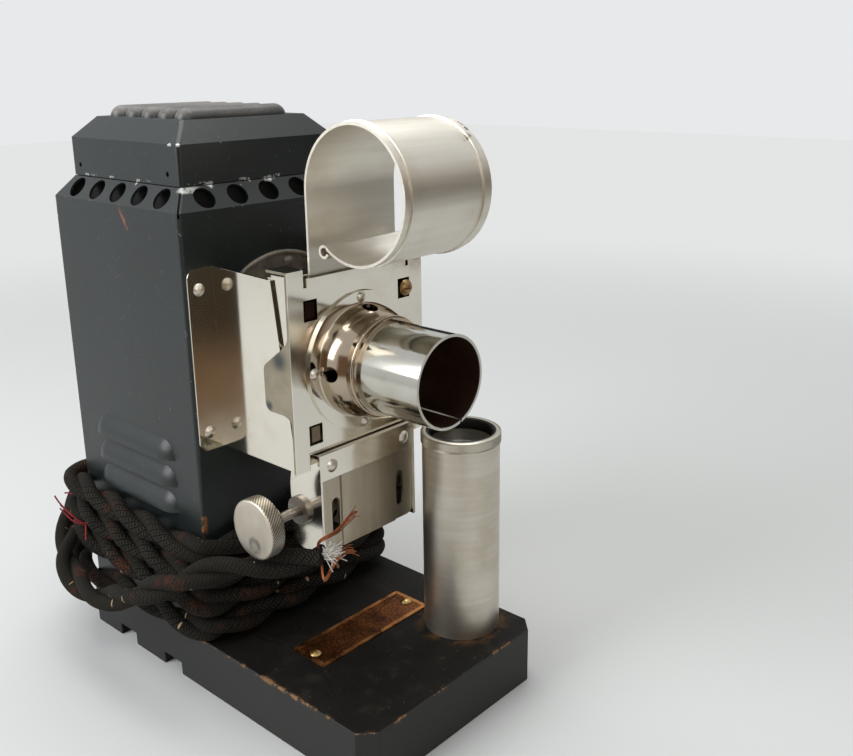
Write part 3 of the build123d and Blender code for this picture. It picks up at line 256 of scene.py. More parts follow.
def paintFinish(name, cap=False):
    finish = Finish(name)
    x, y, z = finish.axes()
    cloud = finish.noise(26, 4, 0.6)
    streak = finish.noise(60, 3, 0.6, stretch=(1, 1, 0.12))
    colour = finish.mix((cloud * 0.7 + streak * 0.5 - 0.25).clip(), paintSet["dark"], paintSet["faded"])
    grain = finish.noise(1500, 3, 0.6)
    peel = finish.noise(420, 2, 0.5)
    specks = finish.ease(finish.noise(900, 2, 0.5), 0.70, 0.76)
    colour = finish.mix(specks * 0.35, colour, paintSet["dust"])
    chipNoise = finish.noise(170, 5, 0.65)
    half = shared["capHalf"] if cap else shared["houseHalf"]
    sideX = abs(x)
    sideY = abs(y - shared["houseY"])
    corner = finish.ease(sideX.under(sideY), half - 1.5, half - 0.35)
    chips = corner * finish.ease(chipNoise, 0.63, 0.66)
    if cap:
        roof = finish.ease(z, *paintSet["roof"])
        dusty = finish.ease(cloud + grain * 0.3, 0.35, 0.8)
        colour = finish.mix(roof * dusty * 0.75, colour, paintSet["dust"])
        slope = finish.ease(abs(z - paintSet["slopeEdge"]), 0.7, 0.15)
        rim = finish.ease(abs(z - paintSet["capRim"]), 0.9, 0.3) * 0.7
        chips = chips + slope * finish.ease(chipNoise, 0.63, 0.66) + rim * finish.ease(chipNoise, 0.56, 0.6)
        seamX = finish.ease(abs(x + half - 0.25), 0.55, 0.3)
        seamY = finish.ease(y - (shared["houseY"] - half), 0.75, 0.45)
        seam = seamX * seamY * finish.ease(z, *paintSet["seamTop"])
        colour = finish.mix(seam, colour, paintSet["seam"])
        # painted highlight: a bright dot in the chip colour at the cap's front left corner
        cornerGlint = finish.ball(*paintSet["cornerGlint"])
        chips = chips * (1 - seam) + cornerGlint
    else:
        band = finish.ease(abs(z - shared["wallTop"]), 0.8, 0.2)
        top = finish.ease(abs(z - shared["shoulderTop"]), 1.3, 0.4)
        chips = chips + band * finish.ease(chipNoise, 0.655, 0.68) + top * finish.ease(chipNoise, 0.60, 0.64)
        rub = finish.ball(*paintSet["rub"]) * finish.ease(z, *paintSet["rubAbove"])
        chips = chips + rub * finish.ease(chipNoise, 0.42, 0.5)
        scratch = finish.stroke(*paintSet["scratchLine"])
        broken = finish.noise(380, 3, 0.6)
        colour = finish.mix(scratch * finish.ease(broken, 0.38, 0.56), colour, paintSet["scratch"])
        rust = finish.stroke(*paintSet["rustLine"])
        colour = finish.mix(rust * finish.ease(broken, 0.40, 0.55), colour, paintSet["rust"])
    chips = chips.clip()
    colour = finish.mix(chips, colour, paintSet["chip"])
    wall = finish.ease(sideX.over(sideY), half - 0.66, half - 0.6)
    within = wall.over(finish.ease(z, *paintSet["capInside" if cap else "houseInside"]))
    colour = finish.mix(within, paintSet["inside"], colour)
    height = peel * 0.5 + grain * 0.35 - chips * 1.6
    normal = finish.lump(height, 0.35, 0.00012)
    rough = 0.31 + grain * 0.12 + (1 - within) * 0.3 + (cloud - 0.5) * 0.12
    return finish.done(colour, rough, normal, chips * 0.6, {"IOR": 1.46})


# Bright nickel: lightly tarnished to brown, with fine hair scratches
nickelSet = {
    "clean": (0.73, 0.69, 0.61),
    "warm": (0.62, 0.55, 0.44),
    "tarnish": (0.20, 0.13, 0.075),
    "rough": 0.085,
}


def nickelFinish(name, settings, brush=(1, 1, 1), brushDepth=0.0, tarnish=0.5, inner=None):
    finish = Finish(name)
    cloud = finish.noise(38, 4, 0.6)
    fine = finish.noise(520, 4, 0.65)
    hairs = finish.noise(900, 2, 0.5, stretch=(0.06, 1, 1), turn=(0.3, 0.5, 0.7))
    crossing = finish.noise(900, 2, 0.5, stretch=(1, 0.05, 1), turn=(0.9, 0.2, 0.4))
    colour = finish.mix(finish.ease(cloud, 0.45, 0.80), settings["clean"], settings["warm"])
    spots = finish.ease(finish.noise(420, 5, 0.7), 0.70, 0.78)
    stains = finish.ease(cloud * 0.6 + fine * 0.5, 0.64, 0.84) * tarnish
    colour = finish.mix((spots * 0.6 * tarnish + stains * 0.5).clip(), colour, settings["tarnish"])
    rough = settings["rough"] + cloud * 0.04 + spots * 0.2 + stains * 0.12
    height = hairs * 0.4 + crossing * 0.3 + fine * 0.15
    if brushDepth:
        strokes = finish.noise(1600, 2, 0.5, stretch=brush)
        broad = finish.noise(420, 3, 0.6, stretch=brush)
        height = height * 0.4 + strokes * brushDepth + broad * brushDepth * 0.7
        rough = rough + strokes * 0.12 + broad * 0.08
        colour = finish.mix(finish.ease(broad, 0.3, 0.75) * 0.45, colour, settings["warm"])
    if inner:
        colour, rough = inner(finish, colour, rough)
    return finish.done(colour, rough, finish.lump(height, 0.16, 0.00005), 1.0)


# Plain metals and small pieces
def metalFinish(name, clean, worn, rough, metallic=1.0, scale=300, depth=0.00005):
    finish = Finish(name)
    cloud = finish.noise(scale * 0.25, 4, 0.6)
    fine = finish.noise(scale * 4, 3, 0.6)
    colour = finish.mix(finish.ease(cloud + fine * 0.2, 0.42, 0.78), clean, worn)
    normal = finish.lump(fine + cloud * 2, 0.25, depth)
    return finish.done(colour, rough + cloud * 0.12 + fine * 0.08, normal, metallic)


# Base board: black paint over wood, worn to bare wood along its edges
boardSet = {
    "paint": (0.0030, 0.0024, 0.0017),
    "greyed": (0.0095, 0.0088, 0.0074),
    "side": (0.026, 0.027, 0.025),
    "wood": (0.30, 0.17, 0.085),
    "grain": (0.16, 0.085, 0.04),
    "dust": (0.15, 0.12, 0.085),
    "stain": (0.09, 0.045, 0.016),
    "scuff": (0.12, 0.085, 0.055),
    "half": (40.0, 75.0),
    "corner": 5.0,
    "foot": (25.2, -54.2, 19.05),
    "wornX": (-33.0, -39.0), "wornFront": (-64.0, -56.0), "wornBack": (-12.0, -22.0),
    "speckled": (8.0, -30.0), "hazy": (5.0, -45.0),
}


def boardFinish():
    finish = Finish("boardPaint")
    x, y, z = finish.axes()
    halfX, halfY = boardSet["half"]
    grain = finish.noise(90, 5, 0.65, stretch=(6, 0.35, 6), twist=0.6)
    pores = finish.noise(700, 3, 0.6, stretch=(2.2, 0.12, 2.2))
    cloud = finish.noise(30, 4, 0.65)
    chipNoise = finish.noise(150, 5, 0.7)
    sideX = halfX - abs(x)
    sideY = halfY - abs(y)
    cut = (sideX + sideY - boardSet["corner"]) * 0.707
    toSide = sideX.under(sideY).under(cut)
    toTop = shared["baseTop"] - z
    edge = toSide.over(toTop)
    ragged = finish.ease(chipNoise + finish.ease(edge, 0.6, 0.0) * 0.05, 0.57, 0.62)
    wear = finish.ease(edge, 1.6, 0.1) * ragged
    leftWear = finish.ease(x, *boardSet["wornX"]) * finish.ease(y, *boardSet["wornBack"])
    leftWear = leftWear * finish.ease(y, *boardSet["wornFront"]) * finish.ease(edge, 1.2, 0.1)
    wear = (wear + leftWear * finish.ease(chipNoise, 0.47, 0.54)).clip()
    upright = finish.ease(toSide, 0.5, 0.3)
    grey = finish.ease(cloud + pores * 0.3, 0.45, 0.85) * 0.7
    colour = finish.mix(grey, boardSet["paint"], boardSet["greyed"])
    colour = finish.mix(upright, colour, boardSet["side"])
    topMask = finish.ease(toTop, 0.4, 0.1)
    specks = finish.ease(finish.noise(620, 4, 0.7), 0.66, 0.71) * topMask
    specks = specks * finish.ease(y, *boardSet["speckled"])
    haze = finish.ease(finish.noise(75, 5, 0.7), 0.50, 0.75) * topMask
    haze = haze * finish.ease(y, *boardSet["hazy"])
    colour = finish.mix((specks * 0.5 + haze * 0.10).clip(), colour, boardSet["dust"])
    foot = finish.ball(boardSet["foot"], 12.0, 17.5)
    ring = foot * (1 - finish.ball(boardSet["foot"], 11.0, 13.2))
    stain = (foot * 0.3 + ring * 0.6) * finish.ease(chipNoise, 0.42, 0.6)
    colour = finish.mix(stain, colour, boardSet["stain"])
    scuffs = finish.ease(finish.noise(260, 4, 0.7, stretch=(1, 0.25, 1), turn=(0, 0, 0.6)), 0.64, 0.69)
    colour = finish.mix(scuffs * topMask * 0.22, colour, boardSet["scuff"])
    timber = finish.mix(finish.ease(grain + pores * 0.3, 0.35, 0.8), boardSet["wood"], boardSet["grain"])
    under = finish.ease(z, 0.35, 0.05)
    colour = finish.mix((wear + under).clip(), colour, timber)
    height = grain * 0.35 + pores * 0.5 + chipNoise * 0.4 - wear * 1.5 + specks * 0.8
    normal = finish.lump(height, 0.4, 0.0002)
    rough = 0.34 + cloud * 0.1 + topMask * 0.26 + wear * 0.3 + specks * 0.2
    return finish.done(colour, rough, normal, 0.0, {"IOR": 1.24})


# Braid of the cord: two crossed sets of threads, worn to the red cotton beneath. The threads' tops carry a
# painted highlight and the gaps between them painted shade
braidSet = {
    "thread": (0.0088, 0.0074, 0.0052),
    "lit": (0.030, 0.0275, 0.020),
    "gap": (0.0022, 0.0020, 0.0016),
    "red": (0.13, 0.013, 0.012),
    "rust": (0.085, 0.022, 0.010),
    "fleck": (0.42, 0.28, 0.17),
    "threadsRound": 9,
    "threadsAlong": 1500,
    "fleckScale": (900.0, 2.2, 1.0),
}


def braidFinish():
    finish = Finish("cottonBraid")
    uv = finish.node("ShaderNodeUVMap", {"uv_map": "UVMap"})
    along = finish.node("ShaderNodeSeparateXYZ", None, [uv])
    around = finish.twin(along, 1) * braidSet["threadsRound"]
    turns = along * braidSet["threadsAlong"]
    first, second = [turns.maths("PINGPONG", turns + around * side, 0.5) * 2 for side in (1, -1)]
    half = turns * 0.5 + around * 0.5
    over = half.maths("PINGPONG", half, 0.5) * 2
    pattern = (first * finish.ease(over, 0.35, 0.6)).over(second * finish.ease(over, 0.65, 0.4))
    fuzz = finish.noise(1800, 3, 0.6)
    cloud = finish.noise(70, 4, 0.65)
    worn = finish.ease(finish.noise(75, 4, 0.7), 0.54, 0.68)
    raised = finish.ease(pattern + fuzz * 0.3, 0.35, 1.05)
    # painted shade: near-black in the gaps between the threads
    colour = finish.mix(raised, braidSet["gap"], braidSet["thread"])
    # painted highlight: lighter colour on the tops of the threads
    lit = finish.ease(pattern + fuzz * 0.6 + cloud * 0.4, 0.95, 1.45)
    colour = finish.mix(lit, colour, braidSet["lit"])
    redWay = finish.mix(finish.ease(cloud, 0.4, 0.6), braidSet["red"], braidSet["rust"])
    colour = finish.mix(worn * finish.ease(fuzz, 0.35, 0.7) * 0.8, colour, redWay)
    stretched = finish.node("ShaderNodeMapping", None, {"Vector": uv, "Scale": braidSet["fleckScale"]})
    cell = finish.node("ShaderNodeTexVoronoi", {"feature": "F1"}, {"Vector": stretched, "Scale": 1.0})
    chance = finish.node("ShaderNodeSeparateColor", None, [finish.twin(cell, 1)])
    flecks = finish.ease(cell, 0.26, 0.16) * (chance > 0.93)
    colour = finish.mix(flecks * 0.85, colour, braidSet["fleck"])
    normal = finish.lump(pattern * 0.6 + fuzz * 0.9, 0.7, 0.00022)
    return finish.done(colour, 0.86 + fuzz * 0.1, normal, 0.0, {"IOR": 1.25})


def glassFinish(name, tint):
    finish = Finish(name)
    smears = finish.noise(60, 4, 0.6)
    rough = 0.02 + finish.ease(smears, 0.45, 0.8) * 0.08
    return finish.done(tint, rough, None, 0.0, {"Transmission Weight": 1.0, "IOR": 1.5})


# Inside of the lens holder: brown and dull beyond its bright front edge
holderMarkSet = {
    "within": (13.5, 13.3),
    "behind": (-71.75, -71.3),
    "browns": ((0.10, 0.050, 0.030), (0.20, 0.115, 0.070)),
}


def holderMarks(finish, colour, rough):
    x, y, z = finish.axes()
    radius = distanceFrom(x, z, (0, shared["opticHeight"]))
    within = finish.ease(radius, *holderMarkSet["within"]) * finish.ease(y, *holderMarkSet["behind"])
    brown = finish.mix(finish.noise(120, 4, 0.65), *holderMarkSet["browns"])
    return finish.mix(within, colour, brown), rough + within * 0.35


# Pads of the pressure plate that show in the door's windows: brown and dull, with painted light on their
# lower part towards +X
padMarkSet = {
    "front": (-33.4, -33.9),
    "lightX": (-21.0, -20.6), "lightZ": (113.8, 113.0),
    "brown": (0.030, 0.014, 0.009),
    "light": (0.30, 0.24, 0.17),
}


def padMarks(finish, colour, rough):
    x, y, z = finish.axes()
    front = finish.ease(y, *padMarkSet["front"])
    # painted light: the pads are lighter on their lower part towards +X
    light = finish.ease(x, *padMarkSet["lightX"]) * finish.ease(z, *padMarkSet["lightZ"])
    brown = finish.mix(light * 0.6, padMarkSet["brown"], padMarkSet["light"])
    return finish.mix(front, colour, brown), rough + front * 0.3


# Marks on the magazine: two dark scuffs and a red dot on its right end
magazineMarkSet = {
    "scuffs": [((12.4, -66.6, 180.6), (15.6, -66.0, 181.4), 0.4, 1.2),
               ((17.0, -64.0, 183.0), (17.4, -61.5, 184.3), 0.3, 0.9)],
    "dot": ((17.4, -60.5, 184.8), 0.35, 0.6),
    "dark": (0.03, 0.026, 0.022),
    "red": (0.35, 0.02, 0.02),
}


def magazineMarks(finish, colour, rough):
    broken = finish.ease(finish.noise(420, 4, 0.7), 0.40, 0.55)
    first, second = [finish.stroke(*scuff) * broken for scuff in magazineMarkSet["scuffs"]]
    dark = first.over(second)
    colour = finish.mix(dark * 0.8, colour, magazineMarkSet["dark"])
    dot = finish.ball(*magazineMarkSet["dot"])
    return finish.mix(dot, colour, magazineMarkSet["red"]), rough + dark * 0.3


# Door: its folded edge with the thumb tab coloured a duller beige-grey with painted reflections of the case
# on it, and a painted darker reflection on the strip beside the lens mount
doorMarkSet = {
    "edgeX": (-27.3, -27.45), "edgeY": (-35.5, -35.2),
    "edgeShades": ((0.27, 0.235, 0.175), (0.36, 0.31, 0.235)),
    "caseReflections": [((-27.6, -30.2, 118.4), 0.6, 4.6), ((-27.6, -24.6, 103.6), 0.3, 2.4)],
    "patch": (0.085, 0.095, 0.090),
    "stripX": (-19.0, -22.5),
    "stripLow": (111.5, 118.0), "stripHigh": (135.0, 131.5),
    "stripY": (-35.0, -35.4),
    "strip": (0.33, 0.30, 0.24),
}


def doorMarks(finish, colour, rough):
    x, y, z = finish.axes()
    cloud = finish.noise(90, 4, 0.6)
    edge = finish.ease(x, *doorMarkSet["edgeX"]) * finish.ease(y, *doorMarkSet["edgeY"])
    shade = finish.mix(finish.ease(cloud, 0.35, 0.65), *doorMarkSet["edgeShades"])
    colour = finish.mix(edge, colour, shade)
    # painted reflection: dark blue-green spots on the folded edge where the case is mirrored
    first, second = [finish.ball(*patch) for patch in doorMarkSet["caseReflections"]]
    colour = finish.mix(first.over(second) * edge, colour, doorMarkSet["patch"])
    # painted reflection: a darker strip beside the lens mount
    strip = finish.ease(x, *doorMarkSet["stripX"]) * finish.ease(z, *doorMarkSet["stripLow"])
    strip = strip * finish.ease(z, *doorMarkSet["stripHigh"]) * finish.ease(y, *doorMarkSet["stripY"])
    colour = finish.mix(strip * 0.75, colour, doorMarkSet["strip"])
    return colour, rough + edge * 0.06 + strip * 0.10


# The lens mount's dome is browner than its flat ring
mountMarkSet = {"domeY": (-36.5, -37.3), "shades": ((0.46, 0.38, 0.29), (0.30, 0.22, 0.145))}


def mountMarks(finish, colour, rough):
    x, y, z = finish.axes()
    dome = finish.ease(y, *mountMarkSet["domeY"])
    shade = finish.mix(finish.noise(70, 4, 0.6), *mountMarkSet["shades"])
    return finish.mix(dome * 0.9, colour, shade), rough + dome * 0.02


# The lens's rim is blackened inside, around its glass
rimMarkSet = {"within": (11.5, 11.2), "black": (0.020, 0.019, 0.017)}


def rimMarks(finish, colour, rough):
    x, y, z = finish.axes()
    within = finish.ease(distanceFrom(x, y, shared["lensAt"]), *rimMarkSet["within"])
    return finish.mix(within, colour, rimMarkSet["black"]), rough + within * 0.2


# The knob's face has a dark smudge, and the hollows of its knurl are dirty
knobMarkSet = {
    "smudge": (-39.3, -28.6, 63.4),
    "smudgeColour": (0.09, 0.085, 0.078),
    "hollow": (9.42, 9.12), "hollowX": (-39.0, -38.8), "outside": (8.6, 8.8),
    "dirt": (0.10, 0.075, 0.045),
}


def knobMarks(finish, colour, rough):
    broken = finish.noise(500, 4, 0.7)
    smudge = finish.ball(knobMarkSet["smudge"], 1.9, 3.6) * finish.ease(broken, 0.2, 0.6)
    smudge = smudge * (1 - finish.ball(knobMarkSet["smudge"], 0.5, 2.2) * 0.6)
    x, y, z = finish.axes()
    radius = distanceFrom(y, z, shared["sprocket"])
    hollow = finish.ease(radius, *knobMarkSet["hollow"]) * finish.ease(x, *knobMarkSet["hollowX"])
    hollow = hollow * finish.ease(radius, *knobMarkSet["outside"])
    colour = finish.mix(hollow * 0.8, colour, knobMarkSet["dirt"])
    return finish.mix(smudge * 0.85, colour, knobMarkSet["smudgeColour"]), rough + smudge * 0.2


def tones(clean, warm, tarnish, rough):
    return {"clean": clean, "warm": warm, "tarnish": tarnish, "rough": rough}


satinSet = tones((0.62, 0.58, 0.51), (0.47, 0.41, 0.32), (0.15, 0.10, 0.06), 0.26)
shoeSet = tones((0.46, 0.41, 0.33), (0.33, 0.27, 0.19), (0.12, 0.08, 0.045), 0.24)
rivetSet = tones((0.66, 0.62, 0.54), (0.52, 0.46, 0.37), (0.20, 0.14, 0.085), 0.34)
sprocketSet = tones((0.44, 0.42, 0.33), (0.28, 0.26, 0.17), (0.10, 0.08, 0.04), 0.30)
holderSet = {**nickelSet, "clean": (0.53, 0.52, 0.475), "warm": (0.46, 0.42, 0.34)}
magazineSet = {**satinSet, "clean": (0.73, 0.70, 0.63), "warm": (0.60, 0.54, 0.44), "rough": 0.30}
barrelSet = {**satinSet, "rough": 0.27}
knobNickelSet = {**satinSet, "rough": 0.30}
rimNickelSet = {**satinSet, "clean": (0.50, 0.465, 0.385), "rough": 0.30}


plateSet = {
    "raised": (0.50, 0.22, 0.075),
    "field": (0.19, 0.066, 0.020),
    "dark": (0.045, 0.017, 0.007),
    "border": (22.6, 6.1),
}


def plateFinish():
    finish = Finish("bronzedPlate")
    x, y, z = finish.axes()
    speck = finish.noise(1400, 4, 0.7)
    blotch = finish.noise(170, 5, 0.7)
    colour = finish.mix(finish.ease(speck + blotch * 0.5, 0.62, 0.86), plateSet["dark"], plateSet["field"])
    shine = finish.ease(speck + blotch * 0.4, 0.78, 0.92)
    colour = finish.mix(shine * 0.7, colour, plateSet["raised"])
    halfX, halfY = plateSet["border"]
    besideY = abs(y - shared["plateY"])
    outside = finish.ease(abs(x) - halfX, -0.1, 0.1).over(finish.ease(besideY - halfY, -0.1, 0.1))
    colour = finish.mix(outside * finish.ease(blotch, 0.35, 0.6) * 0.8, colour, plateSet["raised"])
    normal = finish.lump(speck + blotch * 1.5, 0.5, 0.00012)
    return finish.done(colour, 0.36 + blotch * 0.25, normal, 1.0)


crackle = paintFinish("lampHousePaint")
capPaint = paintFinish("capPaint", cap=True)
nickel = nickelFinish("brightNickel", nickelSet)
mountNickel = nickelFinish("mountNickel", nickelSet, inner=mountMarks)
doorNickel = nickelFinish("doorNickel", nickelSet, inner=doorMarks)
holderNickel = nickelFinish("holderNickel", holderSet, inner=holderMarks)
padNickel = nickelFinish("padNickel", nickelSet, inner=padMarks)
magazineNickel = nickelFinish("magazineNickel", magazineSet, (0.05, 1, 1), 0.35, 0.5, magazineMarks)
barrelNickel = nickelFinish("barrelNickel", barrelSet, (0.05, 0.05, 1), 0.9, 0.35)
shoeNickel = nickelFinish("shoeNickel", shoeSet, (1, 1, 0.05), 0.6, 0.5)
knobNickel = nickelFinish("knobNickel", knobNickelSet, (1, 0.3, 0.3), 0.3, 0.5, knobMarks)
sprocketNickel = nickelFinish("sprocketNickel", sprocketSet, (1, 0.1, 0.1), 0.5, 0.9)
rivetNickel = nickelFinish("rivetNickel", rivetSet)
rimNickel = nickelFinish("rimNickel", rimNickelSet, inner=rimMarks)
steel = metalFinish("plainSteel", (0.46, 0.44, 0.41), (0.25, 0.21, 0.17), 0.30)
darkSteel = metalFinish("blackenedSteel", (0.09, 0.085, 0.08), (0.16, 0.09, 0.05), 0.42)
brass = metalFinish("agedBrass", (0.60, 0.42, 0.17), (0.28, 0.17, 0.07), 0.28)
brownScrew = metalFinish("brownScrew", (0.34, 0.22, 0.10), (0.10, 0.055, 0.03), 0.32)
rivetPaint = metalFinish("paintedRivet", (0.05, 0.05, 0.045), (0.20, 0.17, 0.13), 0.38, 0.4)
silver = metalFinish("silveredMirror", (0.86, 0.86, 0.84), (0.7, 0.69, 0.66), 0.05)
insulator = metalFinish("mouldedInsulator", (0.025, 0.022, 0.02), (0.05, 0.045, 0.04), 0.45, 0.0)
# near-black for the vent sleeve, standing in for shade
ventShadeBlack = metalFinish("ventShadeBlack", (0.004, 0.004, 0.004), (0.008, 0.007, 0.006), 0.85, 0.0)
porcelain = metalFinish("porcelain", (0.62, 0.60, 0.55), (0.45, 0.42, 0.36), 0.25, 0.0)
copper = metalFinish("bareCopper", (0.41, 0.150, 0.062), (0.17, 0.045, 0.018), 0.40, 0.85, 900)
cotton = metalFinish("whiteCotton", (0.72, 0.70, 0.65), (0.45, 0.42, 0.37), 0.9, 0.0)
redThread = metalFinish("redThread", (0.34, 0.03, 0.035), (0.16, 0.012, 0.018), 0.85, 0.0)
glass = glassFinish("clearGlass", (0.97, 0.98, 0.98))
darkGlass = glassFinish("lensGlass", (0.36, 0.40, 0.42))
board = boardFinish()
braid = braidFinish()
plateBronze = plateFinish()
print("finishes made")


# Finishes of the CAD nodes
nodeFinishes = {
    "gate_screw": brownScrew, "reflector": silver, "socket_insulator": porcelain,
    "lens_front_glass": darkGlass, "pressure_plate": padNickel, "lens_mount": mountNickel,
    "lens_holder_tube": holderNickel,
    "film_sprocket": sprocketNickel, "lens_barrel": barrelNickel, "gate_door": doorNickel,
    "film_magazine": magazineNickel, "lamphouse_shell": crackle, "lamphouse_cap": capPaint,
    "base_board": board, "nameplate": plateBronze,
}
finishNodes = [
    (steel, ["condenser_tube", "condenser_spacer", "condenser_retainers", "lamp_filament", "socket_bracket",
             "reflector_stud", "door_hinge_pin", "shaft_bushings", "pressure_springs", "sprocket_shaft",
             "shaft_collar"]),
    (darkSteel, ["lamphouse_screws", "socket_screws"]),
    (brass, ["lamp_base", "lamp_socket", "nameplate_screws"]),
    (rivetPaint, ["condenser_flange", "condenser_rivets"]),
    (insulator, ["lamp_leads", "cord_bushing", "lens_stop"]),
    (glass, ["condenser_lens_front", "condenser_lens_rear", "lamp_bulb", "lens_rear_glass"]),
    (nickel, ["door_hinge_leaf", "gate_bracket_left", "gate_bracket_right", "aperture_plate",
              "shoe_bracket"]),
    (rivetNickel, ["bracket_rivets", "magazine_rivets", "shoe_rivets", "lens_mount_rivets"]),
    (shoeNickel, ["film_shoe_pad", "film_shoe"]),
]
nodeFinishes.update({name: material for material, names in finishNodes for name in names})


def setFinish(piece, material):
    piece.data.materials.clear()
    piece.data.materials.append(material)


for name, material in nodeFinishes.items():
    setFinish(nodes[name], material)


def addPiece(mesh, name, body, material, replaced=()):
    piece = bpy.data.objects.new(name, mesh)
    scene.collection.objects.link(piece)
    setFinish(piece, material)
    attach(piece, body)
    if replaced:
        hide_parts(*replaced)
    return piece


def meshOf(bm, name, sharp=30):
    mesh = bpy.data.meshes.new(name)
    bm.to_mesh(mesh)
    bm.free()
    mesh.shade_smooth()
    mesh.set_sharp_from_angle(angle=math.radians(sharp))
    return mesh


# Pieces whose sheet edges catch the light: a merged copy of the CAD solid with its edges rounded
softened = {
    "base_board": ("baseBoard", "root", 0.55, "painted_wood"),
    "lamphouse_cap": ("houseCap", "cap", 0.25, "crackle_paint"),
    "gate_bracket_left": ("gateBracketLeft", "root", 0.16, "polished_nickel"),
    "gate_bracket_right": ("gateBracketRight", "root", 0.16, "polished_nickel"),
    "gate_door": ("gateDoor", "door", 0.14, "polished_nickel"),
    "aperture_plate": ("aperturePlate", "root", 0.14, "polished_nickel"),
    "shoe_bracket": ("shoeBracket", "root", 0.14, "polished_nickel"),
    "film_shoe": ("filmShoe", "root", 0.14, "satin_nickel"),
    "film_magazine": ("filmMagazine", "root", 0.14, "satin_nickel"),
    "lens_barrel": ("lensBarrel", "spare_lens", 0.2, "satin_nickel"),
}
softenSet = {"merge": 2e-6, "flat": 0.6, "corner": 40, "shortest": 0.25, "segments": 2, "sharp": 32}
doorEdgeSet = {"side": -26.7, "front": -35.6, "deep": 2.2, "trimmed": 1.1, "until": 3.7}


# The door's folded edge, thinned above and below its thumb tab
def trimDoorEdge(bm, settings):
    deep, until = settings["deep"], settings["until"]
    for vert in bm.verts:
        back = vert.co.y / mm - settings["front"]
        if vert.co.x / mm < settings["side"] and deep - 0.3 < back < until:
            share = min((until - back) / (until - deep), 1)
            vert.co.y -= share * (deep - settings["trimmed"]) * mm


def softenNode(node, name, body, width, slotName):
    bm = bmesh.new()
    bm.from_mesh(nodes[node].data)
    bmesh.ops.remove_doubles(bm, verts=bm.verts, dist=softenSet["merge"])
    if node == "gate_door":
        trimDoorEdge(bm, doorEdgeSet)
    bmesh.ops.dissolve_limit(bm, angle_limit=math.radians(softenSet["flat"]), verts=bm.verts, edges=bm.edges,
                             use_dissolve_boundaries=False)
    sharpest = math.radians(softenSet["corner"])
    shortest = softenSet["shortest"] * mm
    corners = [edge for edge in bm.edges if len(edge.link_faces) == 2
               and edge.calc_face_angle() > sharpest and edge.calc_length() > shortest]
    bmesh.ops.bevel(bm, geom=corners, offset=width * mm, offset_type="WIDTH", segments=softenSet["segments"],
                    profile=0.5, affect="EDGES", clamp_overlap=True, material=-1)
    bmesh.ops.triangulate(bm, faces=[face for face in bm.faces if len(face.verts) > 4])
    mesh = meshOf(bm, name, softenSet["sharp"])
    piece = addPiece(mesh, name, body, nodeFinishes[node], [node])
    weighted = piece.modifiers.new("evenNormals", "WEIGHTED_NORMAL")
    weighted.keep_sharp = True


for node, row in softened.items():
    softenNode(node, *row)
print("softened pieces made")


# Turned pieces: a profile of (radius, height) spun about Z, with a diamond knurl on part of it
def knurlHeights(settings):
    return [settings["start"] + number * settings["pitch"] for number in range(settings["rings"] + 1)]


def edgeOf(radius, height, offsets):
    return [(radius - inward, height - down) for inward, down in offsets]


def turnedPiece(profile, settings, place):
    bm = bmesh.new()
    steps = settings["steps"]
    line = [bm.verts.new((radius * mm, 0, height * mm)) for radius, height in profile]
    runs = [bm.edges.new(pair) for pair in zip(line, line[1:])]
    bmesh.ops.spin(bm, geom=line + runs, cent=(0, 0, 0), axis=(0, 0, 1), dvec=(0, 0, 0),
                   angle=2 * math.pi, steps=steps, use_merge=True)
    bmesh.ops.remove_doubles(bm, verts=bm.verts, dist=1e-6)
    low, *between, high = knurlHeights(settings)
    for vert in bm.verts:
        height = vert.co.z / mm
        outermost = vert.co.xy.length > (settings["radius"] - 0.1) * mm
        if outermost and low - 0.01 < height < high + 0.01:
            around = round(math.atan2(vert.co.y, vert.co.x) / (2 * math.pi) * steps)
            along = round((height - low) / settings["pitch"])
            if (around + along) % 2:
                vert.co.xy *= 1 - settings["depth"] * mm / vert.co.xy.length
    bmesh.ops.recalc_face_normals(bm, faces=bm.faces)
    bmesh.ops.transform(bm, matrix=place, verts=bm.verts)
    return bm


knobSet = {
    "face": -39.3, "radius": 9.45, "rim": 5.0, "boss": 6.0, "foot": 0.3, "end": 7.7,
    "shaft": 1.7, "hollow": 1.2,
    "faceEdge": [(2.2, 0), (0.9, -0.04), (0.4, -0.16)], "rimEdge": [(0.35, 0.1), (0.8, 0)],
    "bossEdge": [(0.2, 0.3), (0.6, 0)],
    "steps": 108, "start": 0.40, "rings": 8, "pitch": 0.54, "depth": 0.42,
}


def makeKnob(settings):
    outer, rim, boss, end = [settings[key] for key in ("radius", "rim", "boss", "end")]
    shaft, hollow, foot = [settings[key] for key in ("shaft", "hollow", "foot")]
    profile = [(0, 0)] + edgeOf(outer, 0, settings["faceEdge"])
    profile += [(outer, height) for height in knurlHeights(settings)]
    profile += edgeOf(outer, rim, settings["rimEdge"]) + [(boss + foot, rim), (boss, rim + foot)]
    profile += edgeOf(boss, end, settings["bossEdge"]) + [(shaft, end), (shaft, hollow), (0, hollow)]
    y, z = shared["sprocket"]
    place = Matrix.Translation((settings["face"] * mm, y * mm, z * mm)) @ Matrix.Rotation(math.pi / 2, 4, "Y")
    mesh = meshOf(turnedPiece(profile, settings, place), "knurledKnob", 50)
    addPiece(mesh, "knurledKnob", "sprocket", knobNickel, ["advance_knob"])


rimSet = {
    "bottom": 84.45, "radius": 13.0, "height": 3.6, "bore": 10.2,
    "lowEdge": [(0.3, 0), (0.02, -0.2)], "topEdge": [(0.02, 0.3), (0.35, 0.05), (1.0, 0)],
    "boreEdge": [(-0.7, 0), (0, 0.8)],
    "steps": 150, "start": 0.5, "rings": 6, "pitch": 0.45, "depth": 0.22,
}


